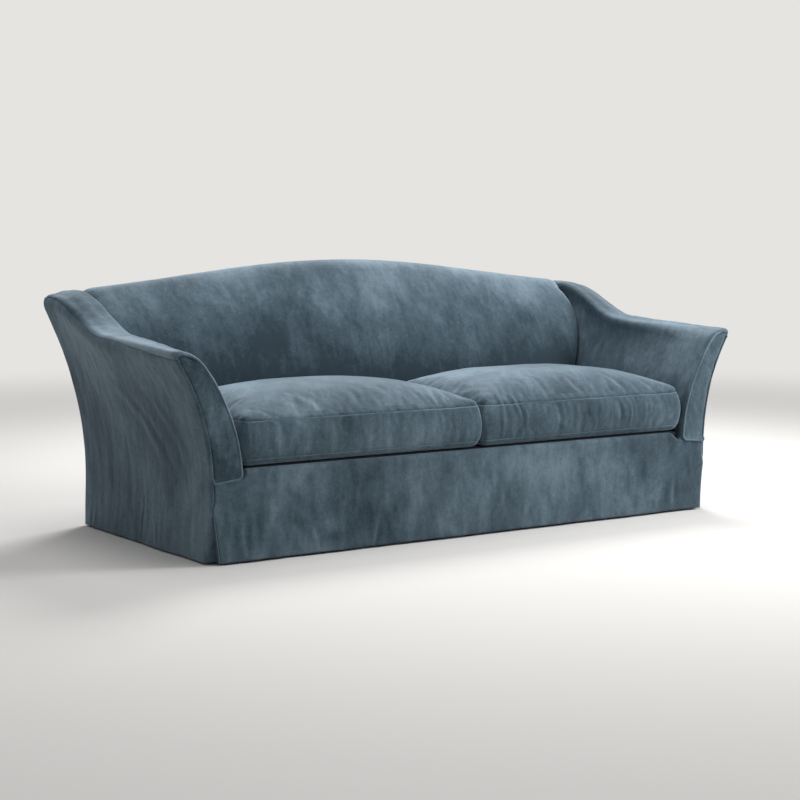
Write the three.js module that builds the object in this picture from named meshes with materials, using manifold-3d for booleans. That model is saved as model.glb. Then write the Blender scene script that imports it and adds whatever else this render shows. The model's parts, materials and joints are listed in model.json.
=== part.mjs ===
// Slipcovered camelback sofa with flared arms, a tight back and two loose seat cushions.
// Millimetres, +Z up, front at -Y, origin on the floor under the middle of the sofa.
import * as THREE from 'three';
import { mergeVertices } from 'three/addons/utils/BufferGeometryUtils.js';
import Module from 'manifold-3d';

const wasm = await Module();
wasm.setup();

// Overall form
const overallDepth = 946;
const bodyHalfWidth = 1029;
const waistHeight = 220;
const crestHeight = 919;
const shoulderHeight = 822;
const crestRunOut = 1150;
const crestFullnessShare = 0.85;

// Flared arms
const armFrontHeight = 664;
const armLineEndHeight = 715;
const swoopLength = 360;
const swoopFromBack = 60;
const armFlareFront = 133;
const armFlareRear = 164;
const flareCurlFrontShare = 2.3;
const flareCurlRearShare = 1.82;
const armThickness = 120;
const armThinning = 32;
const armTopFallFront = 5;
const armTopFallRear = 1;
const armOuterRoundFront = 16;
const armOuterRoundRear = 44;
const armInnerRoundFront = 45;
const armInnerRoundRear = 34;
const armSeamDrop = 9;
const armTopRoll = 62;
const armTopRollLength = 460;
const armTopRollCurve = 12;
const armPanelFoot = 274;
const armPanelDepth = 22;
const armPanelFootRound = 22;
const armPanelRimShares = [[0, 0], [0.5, 0.06], [0.82, 0.26], [0.97, 0.6], [1, 1]];
const armPanelCrownInset = 32;

// Tight back
const ribPlaceShare = 0.583;
const backSeatThickness = 300;
const backRidgeThickness = 73;
const backKneeHeight = 440;
const backRound = 30;
const backSeamDrop = 18;
const backSeamGap = 1.2;
const backPadThickness = 60;
const backTopPad = 22;
const backEndRoll = 70;
const backEndRollDepth = 24;
const backSideGroove = 5;
const leastRound = 4;

// Slipcover and skirt
const coverThickness = 3;
const hemClearance = 6;
const hemFlare = 8;
const hemSpread = 12;
const rearHemTuck = 8;
const frontFoldCount = 9;
const sideFoldCount = 3;
const foldDepthShare = 0.7;
const pleatHeight = 200;
const pleatFrontOpening = 21;
const pleatSideOpening = 32;
const underlayReach = 75;
const underlayRise = 15;
const underlayHemLift = 4;
const apronHeight = 292;
const apronRoll = 8;

// Wooden frame
const boardThickness = 28;
const railFoot = 120;
const railHeight = 142;
const armOuterPad = 12;
const armInnerPad = 25;
const armRailThickness = 26;
const crestRailHeight = 80;
const crestRailEase = 1.2;
const ribEase = 2;
const ribThickness = 24;
const tackRailHeight = 45;
const tackRailThickness = 25;
const stretcherHeight = 70;
const stretcherThickness = 40;
const cornerBlockReach = 90;
const cornerBlockHeight = 60;

// Legs and glides
const legTopWidth = 60;
const legFootWidth = 46;
const glideHeight = 6;
const glideDiameter = 32;
const legSideSetback = 62;
const legFrontSetback = 55;

// Seat springs and deck
const springWire = 4;
const springCount = 6;
const springSpacing = 300;
const springHalfWidth = 26;
const springPitch = 100;
const springLoopShare = 0.16;
const springEndSetback = 8;
const deckThickness = 31;
const deckSideClearance = 4;
const deckUnderBack = 60;

// Loose seat cushions
const cushionFrontSetback = 10;
const cushionBackClearance = 6;
const cushionSideClearance = 6;
const cushionMidGap = 3;
const cushionBoxing = 139;
const cushionCrown = 90;
const cushionCornerRound = 42;
const cushionDrawIn = 6;
const cushionDrawInCurve = 7;
const cushionBulge = 5;
const cushionEdgeRound = 9;
const cushionEdgeBandRise = 17;
const cushionEdgeRise = 24;
const cushionEdgeRoll = 60;
const crownSquareShare = 4.2;
const crownFallShare = 2.4;
const crownFullShare = 1.08;
const crownPeakShare = 0.93;
const crownRingShares = [0.02, 0.07, 0.15, 0.28, 0.46, 0.7];
const cushionCornerSteps = 3;
const cushionLongSteps = 7;
const cushionShortSteps = 5;

// Cushion zips
const zipLength = 700;
const zipWidth = 14;
const zipWallReach = 20;
const sliderLength = 16;
const sliderThickness = 2.4;
const sliderTabLength = 30;
const sliderTabWidth = 8;

const fitGap = 0.3;

// Levels and faces that follow from the sizes above
const halfDepth = overallDepth / 2;
const frontFace = -halfDepth + hemFlare;
const rearFace = halfDepth;
const swoopEnd = rearFace - swoopFromBack;
const swoopStart = swoopEnd - swoopLength;
const coverGap = coverThickness + fitGap;
const panelBack = frontFace + armPanelDepth;
const sideRear = rearFace - coverGap;
const frontRailFace = frontFace + coverGap;
const frontPostFace = panelBack + fitGap;
const frontPostBack = frontPostFace + boardThickness;
const rearPostBack = sideRear - fitGap;
const rearPostFace = rearPostBack - boardThickness;
const railTop = railFoot + railHeight;
const springBottom = railTop + fitGap;
const deckBottom = springBottom + springWire + fitGap;
const deckTop = deckBottom + deckThickness;
const seatBack = rearFace - backSeatThickness;
const ridgeSetback = backSeatThickness - backRidgeThickness;
const crestRailTopInset = coverGap + backTopPad + crestRailEase;
const backFoot = deckTop + fitGap;
const cushionFoot = deckTop + fitGap;
const coverInset = { outer: 0, top: 0, inner: 0, roll: armTopRoll };
const clothInset = { outer: coverThickness, top: coverThickness, inner: coverThickness, roll: armTopRoll };
const padInset = { outer: coverGap, top: coverGap, inner: coverGap, roll: armTopRoll };
const woodFit = {
  outer: coverGap + armOuterPad,
  top: coverGap + armOuterPad,
  inner: coverGap + armInnerPad,
  roll: 0,
};
const woodInset = {
  outer: woodFit.outer + fitGap,
  top: woodFit.top + fitGap,
  inner: woodFit.inner + fitGap,
  roll: 0,
};

const { lerp, clamp, smoothstep } = THREE.MathUtils;
const stationShares = [0, 0.14, 0.28, 0.42, 0.53, 0.62, 0.7, 0.78, 0.86, 0.93, 1];
const armLevelShares = [0, 0.24, 0.45, 0.64, 0.83, 1];
const armDetail = { corner: 3, round: 3 };
const innerLevelShares = [0.12, 0.32, 0.62, 1];
const backPlaceShares = [-0.76, -ribPlaceShare, -0.39, -0.19, 0, 0.19, 0.39, ribPlaceShare, 0.76];
const backEndShares = [0, 0.28, 0.64, 1];

// Materials
const velvet = new THREE.MeshStandardMaterial({ color: 0x4f6679, roughness: 0.9, metalness: 0 });
const pleatCloth = new THREE.MeshStandardMaterial({ color: 0x33434f, roughness: 0.95, metalness: 0 });
const padding = new THREE.MeshStandardMaterial({ color: 0xe9e2d0, roughness: 0.95, metalness: 0 });
const foam = new THREE.MeshStandardMaterial({ color: 0xf0e4b8, roughness: 0.9, metalness: 0 });
const hardwood = new THREE.MeshStandardMaterial({ color: 0xb98f5e, roughness: 0.6, metalness: 0 });
const legWood = new THREE.MeshStandardMaterial({ color: 0x4a3323, roughness: 0.45, metalness: 0 });
const springSteel = new THREE.MeshStandardMaterial({ color: 0x8d9095, roughness: 0.4, metalness: 1 });
const glidePlastic = new THREE.MeshStandardMaterial({ color: 0x2b2b2b, roughness: 0.5, metalness: 0 });
const zipMetal = new THREE.MeshStandardMaterial({ color: 0xa8a294, roughness: 0.35, metalness: 1 });

const sofa = new THREE.Group();

function place(name, geometry, material) {
  const mesh = new THREE.Mesh(geometry, material.clone());
  mesh.name = name;
  sofa.add(mesh);
}

// Turns a triangle list inside out
function flipFaces(indices) {
  const flipped = [];
  for (let i = 0; i < indices.length; i += 3) {
    flipped.push(indices[i], indices[i + 2], indices[i + 1]);
  }
  return flipped;
}

function signedVolume(points, indices) {
  let volume = 0;
  for (let i = 0; i < indices.length; i += 3) {
    const [a, b, c] = [points[indices[i]], points[indices[i + 1]], points[indices[i + 2]]];
    volume += a.dot(b.clone().cross(c));
  }
  return volume;
}

// Closed body from points and triangles, with its faces pointing out
function body(points, indices) {
  const outward = signedVolume(points, indices) > 0 ? indices : flipFaces(indices);
  const geometry = new THREE.BufferGeometry();
  geometry.setAttribute('position', new THREE.Float32BufferAttribute(points.flatMap((p) => p.toArray()), 3));
  geometry.setIndex(outward);
  geometry.computeVertexNormals();
  return geometry;
}

// The same piece on the other side of the sofa
function mirrored(geometry) {
  const copy = geometry.clone();
  copy.scale(-1, 1, 1);
  const plainOrder = () => Array.from({ length: copy.attributes.position.count }, (_, i) => i);
  copy.setIndex(flipFaces(copy.index ? Array.from(copy.index.array) : plainOrder()));
  copy.computeVertexNormals();
  return copy;
}

function placePair(name, geometry, material) {
  place(`${name}_right`, geometry, material);
  place(`${name}_left`, mirrored(geometry), material);
}

// Thick sheet between two grids of points, walled all round its border
function sheet(outerGrid, innerGrid) {
  const rows = outerGrid.length;
  const columns = outerGrid[0].length;
  const points = [...outerGrid.flat(), ...innerGrid.flat()];
  const at = (side, row, column) => (side * rows + row) * columns + column;
  const indices = [];
  const quad = (a, b, c, d) => indices.push(a, b, c, a, c, d);
  for (let row = 0; row < rows - 1; row += 1) {
    for (let column = 0; column < columns - 1; column += 1) {
      quad(at(0, row, column), at(0, row + 1, column), at(0, row + 1, column + 1), at(0, row, column + 1));
      quad(at(1, row, column), at(1, row, column + 1), at(1, row + 1, column + 1), at(1, row + 1, column));
    }
  }
  for (let row = 0; row < rows - 1; row += 1) {
    quad(at(0, row, 0), at(1, row, 0), at(1, row + 1, 0), at(0, row + 1, 0));
    const last = columns - 1;
    quad(at(0, row, last), at(0, row + 1, last), at(1, row + 1, last), at(1, row, last));
  }
  for (let column = 0; column < columns - 1; column += 1) {
    quad(at(0, 0, column), at(0, 0, column + 1), at(1, 0, column + 1), at(1, 0, column));
    const last = rows - 1;
    quad(at(0, last, column), at(1, last, column), at(1, last, column + 1), at(0, last, column + 1));
  }
  return body(points, indices);
}

// Closed body through a stack of rings of equal count, capped flat at both ends
function ringStack(rings, flatten) {
  const count = rings[0].length;
  const points = rings.flat();
  const indices = [];
  for (let ring = 0; ring < rings.length - 1; ring += 1) {
    for (let i = 0; i < count; i += 1) {
      const next = (i + 1) % count;
      const [a, b] = [ring * count + i, ring * count + next];
      const [c, d] = [a + count, b + count];
      indices.push(a, b, d, a, d, c);
    }
  }
  const capOf = (ring) => THREE.ShapeUtils.triangulateShape(ring.map(flatten), []);
  const start = (rings.length - 1) * count;
  const clockwise = THREE.ShapeUtils.isClockWise(rings[0].map(flatten));
  capOf(rings[0]).forEach(([a, b, c]) => indices.push(...(clockwise ? [a, b, c] : [a, c, b])));
  capOf(rings.at(-1)).forEach(([a, b, c]) => {
    const turned = clockwise ? [a, c, b] : [a, b, c];
    indices.push(...turned.map((i) => start + i));
  });
  return body(points, indices);
}

function board(xFrom, xTo, yFrom, yTo, zFrom, zTo) {
  const geometry = new THREE.BoxGeometry(xTo - xFrom, yTo - yFrom, zTo - zFrom);
  geometry.translate((xFrom + xTo) / 2, (yFrom + yTo) / 2, (zFrom + zTo) / 2);
  return geometry;
}

// Plate cut to an outline of (x, z) points
function plateAcross(outline, yFrom, yTo) {
  const options = { depth: yTo - yFrom, bevelEnabled: false };
  const geometry = new THREE.ExtrudeGeometry(new THREE.Shape(outline), options);
  geometry.rotateX(Math.PI / 2);
  geometry.translate(0, yTo, 0);
  return geometry;
}

// Plate cut to an outline of (y, z) points
function plateAlong(outline, xFrom, xTo) {
  const options = { depth: xTo - xFrom, bevelEnabled: false };
  const geometry = new THREE.ExtrudeGeometry(new THREE.Shape(outline), options);
  const turn = new THREE.Matrix4().makeBasis(
    new THREE.Vector3(0, 1, 0),
    new THREE.Vector3(0, 0, 1),
    new THREE.Vector3(1, 0, 0),
  );
  geometry.applyMatrix4(turn);
  geometry.translate(xFrom, 0, 0);
  return geometry;
}

function solidOf(geometry) {
  const bare = geometry.clone();
  bare.deleteAttribute('normal');
  bare.deleteAttribute('uv');
  const merged = mergeVertices(bare);
  const vertProperties = new Float32Array(merged.attributes.position.array);
  const triVerts = new Uint32Array(merged.index.array);
  return new wasm.Manifold(new wasm.Mesh({ numProp: 3, vertProperties, triVerts }));
}

function geometryOf(solid) {
  const { vertProperties, triVerts } = solid.getMesh();
  const geometry = new THREE.BufferGeometry();
  geometry.setAttribute('position', new THREE.BufferAttribute(new Float32Array(vertProperties), 3));
  geometry.setIndex(Array.from(triVerts));
  geometry.computeVertexNormals();
  return geometry;
}

function cutBy(geometry, ...cutters) {
  let solid = solidOf(geometry);
  for (const cutter of cutters) {
    solid = solid.subtract(solidOf(cutter));
  }
  return geometryOf(solid);
}

// Surfaces of the flared arm
function depthShare(y) {
  return clamp((y + halfDepth) / overallDepth, 0, 1);
}

function armTop(y) {
  const line = lerp(armFrontHeight, armLineEndHeight, depthShare(y));
  return line + (shoulderHeight - armLineEndHeight) * smoothstep(y, swoopStart, swoopEnd);
}

function armLift(y, z) {
  return Math.max(0, z - waistHeight) / (armTop(y) - waistHeight);
}

// Grows from nothing at the waist to one at the floor
function hemShare(z) {
  return (Math.max(0, waistHeight - z) / waistHeight) ** 2;
}

// The back of the slipcover tucks in below the seat rail
function rearTuck(z) {
  return rearHemTuck * (Math.max(0, railFoot - z) / railFoot) ** 2;
}

function armOuterX(y, z) {
  const flare = lerp(armFlareFront, armFlareRear, depthShare(y));
  const curl = lerp(flareCurlFrontShare, flareCurlRearShare, depthShare(y));
  return bodyHalfWidth + flare * armLift(y, z) ** curl;
}

function armInnerX(y, z) {
  return armOuterX(y, z) - armThickness + armThinning * armLift(y, z) ** 2;
}

// Grows from nothing at the front of the arm to one further back
function rollShare(y) {
  return smoothstep(y, frontFace, frontFace + armTopRollLength);
}

// Padding rolls the arm's top out over the seat
function armRollReach(y, z) {
  return rollShare(y) * Math.min(1, armLift(y, z)) ** armTopRollCurve;
}

function armRolledX(y, z) {
  return armInnerX(y, z) - armTopRoll * armRollReach(y, z);
}

function armOuterRound(y) {
  return lerp(armOuterRoundFront, armOuterRoundRear, rollShare(y));
}

function armInnerRound(y) {
  return lerp(armInnerRoundFront, armInnerRoundRear, depthShare(y));
}

function armSeam(y) {
  return armTop(y) - armOuterRound(y) - armSeamDrop;
}

// Levels up the outside of the arm, from where its skirt starts to its top seam
function armLevels(y) {
  return armLevelShares.map((share) => lerp(armPanelFoot - fitGap, armSeam(y), share));
}

// Outline of the arm in (x, z), up the outside, over the top and down the inside
function armOutline(y, inset, outerLevels, innerFoot) {
  const outerCornerHeight = armTop(y) - inset.top;
  const innerCornerHeight = outerCornerHeight - lerp(armTopFallFront, armTopFallRear, depthShare(y));
  const outerAt = (z) => new THREE.Vector2(armOuterX(y, z) - inset.outer, z);
  const innerAt = (z) => new THREE.Vector2(armInnerX(y, z) - inset.roll * armRollReach(y, z) + inset.inner, z);
  const outerRound = Math.max(armOuterRound(y) - inset.top, leastRound);
  const innerRound = Math.max(armInnerRound(y) - inset.inner, leastRound);
  const outerCorner = outerAt(outerCornerHeight);
  const innerCorner = innerAt(innerCornerHeight);
  const across = innerCorner.clone().sub(outerCorner).normalize();
  const outerStart = outerAt(outerCornerHeight - outerRound);
  const outerEnd = outerCorner.clone().addScaledVector(across, outerRound);
  const innerStart = innerCorner.clone().addScaledVector(across, -innerRound);
  const innerEnd = innerAt(innerCornerHeight - innerRound);
  const points = [];
  outerLevels.forEach((z) => points.push(outerAt(z)));
  points.push(...new THREE.QuadraticBezierCurve(outerStart, outerCorner, outerEnd).getPoints(armDetail.corner));
  points.push(...new THREE.QuadraticBezierCurve(innerStart, innerCorner, innerEnd).getPoints(armDetail.round));
  innerLevelShares.forEach((share) => points.push(innerAt(lerp(innerEnd.y, innerFoot, share))));
  return points;
}

function alongArm(stations, outlineAt) {
  return stations.map((y) => outlineAt(y).map((p) => new THREE.Vector3(p.x, y, p.y)));
}

function stationsBetween(shares, from, to) {
  return shares.map((share) => lerp(from, to, share));
}

// Places along the arm that its cover, padding and posts all share, so that they nest
const armStations = [
  frontPostFace,
  ...stationsBetween(stationShares, frontPostBack, rearPostFace),
  rearPostBack,
];

function makeArmTopAndInsideCover() {
  const outlineAt = (inset) => (y) => armOutline(y, inset, [armSeam(y) + fitGap], armPanelFoot);
  const stations = [...armStations.slice(0, -1), sideRear];
  return sheet(alongArm(stations, outlineAt(coverInset)), alongArm(stations, outlineAt(clothInset)));
}

function makeArmPad() {
  const outlineAt = (inset) => (y) => armOutline(y, inset, armLevels(y), armPanelFoot);
  return sheet(alongArm(armStations, outlineAt(padInset)), alongArm(armStations, outlineAt(woodFit)));
}

// The outside arm cover hangs from its seam under the arm top right down to the hem
function makeOutsideArmCover() {
  const skirtShares = [0, 0.25, 0.55, 1];
  const foot = armPanelFoot - fitGap;
  const skirtTop = foot - coverThickness;
  const stations = [...armStations.slice(0, -1), sideRear];
  const frontEdge = (z) => frontRailFace + pleatSideOpening * Math.max(0, 1 - z / pleatHeight);
  const rearEdge = (z) => sideRear - rearTuck(z);
  const gridAt = (inset) => stations.map((station) => {
    const share = (station - stations[0]) / (stations.at(-1) - stations[0]);
    const fold = 1 - foldDepthShare * (0.5 - 0.5 * Math.cos(2 * Math.PI * sideFoldCount * share));
    const skirt = skirtShares.map((level) => {
      const z = lerp(hemClearance, skirtTop, level);
      const y = lerp(frontEdge(z), rearEdge(z), share);
      return new THREE.Vector3(armOuterX(y, z) + hemSpread * hemShare(z) * fold - inset, y, z);
    });
    const upper = armLevels(station).map((z) => new THREE.Vector3(armOuterX(station, z) - inset, station, z));
    return [...skirt, ...upper];
  });
  return sheet(gridAt(0), gridAt(coverThickness));
}

function makeArmFrontPanel() {
  const rings = armPanelRimShares.map(([forward, rim]) => {
    const inset = armPanelCrownInset * rim;
    const y = lerp(panelBack, frontFace, forward);
    const foot = armPanelFoot + fitGap + inset;
    const round = Math.max(armPanelFootRound - inset / 2, leastRound);
    const insets = { outer: inset, top: inset, inner: inset, roll: 0 };
    const levels = armLevelShares.map((share) => lerp(foot, armSeam(frontFace) - inset, share));
    const outline = armOutline(frontFace, insets, levels, foot + round);
    const innerFoot = outline.at(-1);
    const corner = new THREE.Vector2(innerFoot.x, foot);
    const along = new THREE.Vector2(innerFoot.x + round, foot);
    outline.push(...new THREE.QuadraticBezierCurve(innerFoot, corner, along).getPoints(armDetail.corner).slice(1));
    return outline.map((p) => new THREE.Vector3(p.x, y, p.y));
  });
  return ringStack(rings, (p) => new THREE.Vector2(p.x, p.z));
}

// Surfaces of the camel back
function crestAt(x) {
  const hump = (0.5 + 0.5 * Math.cos(Math.PI * Math.min(1, Math.abs(x) / crestRunOut))) ** crestFullnessShare;
  return shoulderHeight + (crestHeight - shoulderHeight) * hump;
}

function backFaceY(x, z) {
  const rise = Math.max(0, z - backKneeHeight) / (crestAt(x) - backKneeHeight);
  return seatBack + ridgeSetback * rise ** 2;
}

// Profile of the back at one place across, in (y, z), from the seat up over the crest
function backProfile(x, inset, wrap) {
  const top = crestAt(x) - inset.top;
  const faceAt = (z) => new THREE.Vector2(backFaceY(x, z) + inset.face, z);
  const round = Math.max(backRound - inset.top, leastRound);
  const corner = faceAt(top);
  const faceShares = [0, 0.26, 0.42, 0.56, 0.68, 0.79, 0.9];
  const points = faceShares.map((share) => faceAt(lerp(backFoot, top - round, share)));
  const roundEnd = new THREE.Vector2(corner.x + round, top);
  points.push(...new THREE.QuadraticBezierCurve(faceAt(top - round), corner, roundEnd).getPoints(3));
  const rear = rearFace - inset.rear;
  if (wrap) {
    const rearStart = new THREE.Vector2(rear - backSeamDrop, top);
    const rearCorner = new THREE.Vector2(rear, top);
    const rearEnd = new THREE.Vector2(rear, crestAt(x) - backSeamDrop);
    points.push(...new THREE.QuadraticBezierCurve(rearStart, rearCorner, rearEnd).getPoints(3));
  } else {
    points.push(new THREE.Vector2(rear, top));
  }
  return points;
}

// Columns across the back: places near the middle, then distances in from the arms
const backEnds = backEndShares.map((share) => share * backEndRoll);
const backPlaces = backPlaceShares.map((share) => share * bodyHalfWidth);
const backColumns = [
  ...backEnds.map((fromEnd) => ({ side: -1, fromEnd })),
  ...backPlaces.map((at) => ({ at })),
  ...backEnds.map((fromEnd) => ({ side: 1, fromEnd })).reverse(),
];

// The back's face falls away towards the arms, where its padding is pulled into the seam
function acrossBack(inset, wrap) {
  const count = backProfile(0, inset, wrap).length;
  const pointAt = (x, i, fromEnd) => {
    const point = backProfile(x, inset, wrap)[i];
    const onFace = clamp((rearPostFace - point.x) / (rearPostFace - seatBack), 0, 1);
    point.x += backEndRollDepth * (1 - fromEnd / backEndRoll) ** 2 * Math.sqrt(onFace);
    return point;
  };
  const settle = (column, i) => {
    let x = column.side * bodyHalfWidth;
    for (let turn = 0; turn < 5; turn += 1) {
      const point = pointAt(x, i, column.fromEnd);
      x = column.side * (armRolledX(point.x, point.y) - backSideGroove - column.fromEnd);
    }
    return x;
  };
  return backColumns.map((column) => Array.from({ length: count }, (_, i) => {
    const x = column.at ?? settle(column, i);
    const point = pointAt(x, i, column.fromEnd ?? backEndRoll);
    return new THREE.Vector3(x, point.x, point.y);
  }));
}

function makeInsideBackCover() {
  const outer = { face: 0, top: 0, rear: 0 };
  const inner = { face: coverThickness, top: coverThickness, rear: coverThickness };
  return sheet(acrossBack(outer, true), acrossBack(inner, true));
}

function makeBackPad() {
  const rear = backSeamDrop + coverGap;
  const outer = { face: coverGap, top: coverGap, rear };
  const inner = { face: coverGap + backPadThickness, top: coverGap + backTopPad, rear };
  return sheet(acrossBack(outer, false), acrossBack(inner, false));
}

// The outside back closes the arms too, so its sides flare with them
function makeOutsideBackCover() {
  const levelShares = [0, 0.055, 0.12, 0.25, 0.38, 0.51, 0.63, 0.75, 0.87, 1];
  const seamHeight = shoulderHeight - backSeamDrop;
  const backEnd = armRolledX(rearFace, seamHeight) - backSideGroove;
  const panelTopX = armOuterX(rearFace, armTop(rearFace) - armOuterRoundRear);
  const outermost = backPlaces.at(-1);
  const notch = backEnd + leastRound;
  const topPlaces = [backEnd - backEndRoll, notch, notch + leastRound, panelTopX];
  const half = topPlaces.map((at) => ({ at, share: (at - outermost) / (panelTopX - outermost) }));
  const columns = [
    ...half.map((column) => ({ ...column, side: -1 })).reverse(),
    ...backPlaces.map((at) => ({ at, side: 0 })),
    ...half.map((column) => ({ ...column, side: 1 })),
  ];
  const topAt = (x) => {
    if (x <= notch) return crestAt(x) - backSeamDrop - backSeamGap;
    return armTop(rearFace) - (x === panelTopX ? armOuterRoundRear : leastRound);
  };
  const gridAt = (inset) => columns.map((column) => levelShares.map((level) => {
    const z = lerp(hemClearance, topAt(Math.abs(column.at)), level);
    const width = armOuterX(rearFace, z) + hemSpread * hemShare(z);
    const x = column.side ? column.side * lerp(outermost, width, column.share) : column.at;
    const fold = 1 - foldDepthShare * (0.5 - 0.5 * Math.cos(Math.PI * frontFoldCount * x / bodyHalfWidth));
    return new THREE.Vector3(x, rearFace - rearTuck(z) * fold - inset, z);
  }));
  return sheet(gridAt(0), gridAt(coverThickness));
}

// Front apron and skirt in one drop, notched round the foot of each arm panel
function makeFrontSkirt() {
  const notch = armInnerX(frontFace, armPanelFoot);
  const apronHalfWidth = notch - apronRoll;
  const apronShares = Array.from({ length: 2 * frontFoldCount + 1 }, (_, i) => i / frontFoldCount - 1);
  const cornerShares = [0, 0.35, 0.7, 1];
  const columns = [
    ...cornerShares.map((share) => ({ side: -1, share })).reverse(),
    ...apronShares.map((share) => ({ at: share * apronHalfWidth, share })),
    ...cornerShares.map((share) => ({ side: 1, share })),
  ];
  const levelShares = [0, 0.17, 0.36, 0.58, 0.8];
  const gridAt = (inset) => columns.map((column) => {
    const top = column.side ? armPanelFoot - fitGap : apronHeight;
    const shoulder = top - apronRoll;
    const levels = [...levelShares.map((share) => lerp(hemClearance, shoulder, share)), shoulder, top];
    return levels.map((z, level) => {
      const edge = armOuterX(frontFace, z) + hemSpread * hemShare(z);
      const open = pleatFrontOpening * Math.max(0, 1 - z / pleatHeight);
      const x = column.side ? column.side * lerp(notch - fitGap, edge - open, column.share) : column.at;
      const wave = column.side ? 0 : 0.5 - 0.5 * Math.cos(2 * Math.PI * frontFoldCount * column.share / 2);
      const flare = hemFlare * hemShare(z) / hemShare(hemClearance) * (1 - foldDepthShare * wave);
      const rolled = !column.side && level === levels.length - 1;
      const y = frontFace - flare + (rolled ? apronRoll : 0) + inset;
      return new THREE.Vector3(x, y, rolled ? z - inset / 2 : z);
    });
  });
  return sheet(gridAt(0), gridAt(coverThickness));
}

// Inverted kick pleat: a folded strip of cloth behind each front corner of the skirt
function makePleatUnderlay() {
  const cornerX = bodyHalfWidth - coverGap;
  const cornerY = frontRailFace + pleatSideOpening / 2;
  const planAt = (inset) => [
    new THREE.Vector2(cornerX - underlayReach, frontRailFace + inset),
    new THREE.Vector2(cornerX - pleatFrontOpening, frontRailFace + inset),
    new THREE.Vector2(cornerX - pleatFrontOpening / 2 - inset / 2, cornerY - pleatSideOpening / 4 + inset / 2),
    new THREE.Vector2(cornerX - inset, cornerY + pleatSideOpening / 4),
    new THREE.Vector2(cornerX - inset, frontRailFace + underlayReach),
  ];
  const foot = hemClearance + underlayHemLift;
  const levels = [foot, pleatHeight / 2, pleatHeight + underlayRise];
  const gridAt = (inset) => levels.map((z) => planAt(inset).map((p) => new THREE.Vector3(p.x, p.y, z)));
  return sheet(gridAt(0), gridAt(coverThickness));
}

// Flared post that fills the arm's padding from rail foot to arm top
function makeArmPost(front, back) {
  const outlineAt = (y) => [
    new THREE.Vector2(armOuterX(y, railFoot) - woodInset.outer, railFoot),
    ...armOutline(y, woodInset, armLevels(y), armPanelFoot),
    new THREE.Vector2(armInnerX(y, railFoot) + woodInset.inner, railFoot),
  ];
  return ringStack(alongArm([front, back], outlineAt), (p) => new THREE.Vector2(p.x, p.z));
}

// Wooden frame
function makeFrame() {
  placePair('arm_post_front', makeArmPost(frontPostFace, frontPostBack), hardwood);
  placePair('arm_post_back', makeArmPost(rearPostFace, rearPostBack), hardwood);

  const railEnd = bodyHalfWidth - armThickness + woodInset.inner - fitGap;
  const frontRail = board(-railEnd, railEnd, frontRailFace, frontRailFace + boardThickness, railFoot, railTop);
  place('front_seat_rail', frontRail, hardwood);
  place('back_seat_rail', board(-railEnd, railEnd, rearPostFace, rearPostBack, railFoot, railTop), hardwood);

  const sideOuter = bodyHalfWidth - woodInset.outer;
  const sideInner = sideOuter - boardThickness;
  const sideFront = frontPostBack + fitGap;
  const sideBack = rearPostFace - fitGap;
  placePair('side_seat_rail', board(sideInner, sideOuter, sideFront, sideBack, railFoot, railTop), hardwood);

  const half = stretcherThickness / 2;
  const stretcherTop = railTop - springWire - stretcherThickness / 2;
  const stretcherFront = frontRailFace + boardThickness + fitGap;
  const stretcher = board(-half, half, stretcherFront, sideBack, stretcherTop - stretcherHeight, stretcherTop);
  place('center_stretcher', stretcher, hardwood);

  const blockCorner = sideInner - fitGap;
  const blockFoot = railTop - cornerBlockHeight;
  const blockAt = (x, y, reach) => new THREE.ExtrudeGeometry(
    new THREE.Shape([
      new THREE.Vector2(x, y),
      new THREE.Vector2(x, y + reach),
      new THREE.Vector2(x - cornerBlockReach, y),
    ]),
    { depth: cornerBlockHeight, bevelEnabled: false },
  ).translate(0, 0, blockFoot);
  placePair('corner_block_front', blockAt(blockCorner, sideFront, cornerBlockReach), hardwood);
  placePair('corner_block_back', blockAt(blockCorner, sideBack, -cornerBlockReach), hardwood);

  const railLevels = (y) => {
    const top = armTop(y) - woodInset.top - armTopFallFront;
    const foot = top - armRailThickness;
    const outerEase = Math.max(armOuterRound(y) - woodInset.top, leastRound);
    const innerEase = Math.max(armInnerRound(y) - woodInset.inner, leastRound);
    return [
      new THREE.Vector2(armOuterX(y, foot) - woodInset.outer - leastRound, foot),
      new THREE.Vector2(armOuterX(y, top) - woodInset.outer - outerEase, top),
      new THREE.Vector2(armInnerX(y, top) + woodInset.inner + innerEase, top),
      new THREE.Vector2(armInnerX(y, foot) + woodInset.inner + leastRound, foot),
    ];
  };
  const armRail = ringStack(
    alongArm(stationsBetween(stationShares, sideFront, sideBack), railLevels),
    (p) => new THREE.Vector2(p.x, p.z),
  );
  placePair('arm_top_rail', armRail, hardwood);
}

// Outline of the crest rail in (x, z), grown by a clearance where it cuts its seat
function crestRailOutline(grow) {
  const endX = (z) => armInnerX(rearPostFace, z) + woodInset.inner - fitGap + grow;
  const footZ = shoulderHeight - crestRailTopInset - crestRailHeight;
  const topEnd = endX(shoulderHeight - crestRailTopInset);
  const midZ = footZ + crestRailHeight / 2;
  const endPlaces = [topEnd - 2 * backEndRoll, topEnd - backEndRoll, topEnd];
  const topSide = [...backPlaces.filter((at) => at >= 0), ...endPlaces].map(
    (x) => new THREE.Vector2(x, crestAt(x) - crestRailTopInset + grow),
  );
  const right = [...topSide, new THREE.Vector2(endX(midZ), midZ), new THREE.Vector2(endX(footZ), footZ - grow)];
  const left = right.slice(1).reverse().map((p) => new THREE.Vector2(-p.x, p.y));
  return [...left, ...right];
}

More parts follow.
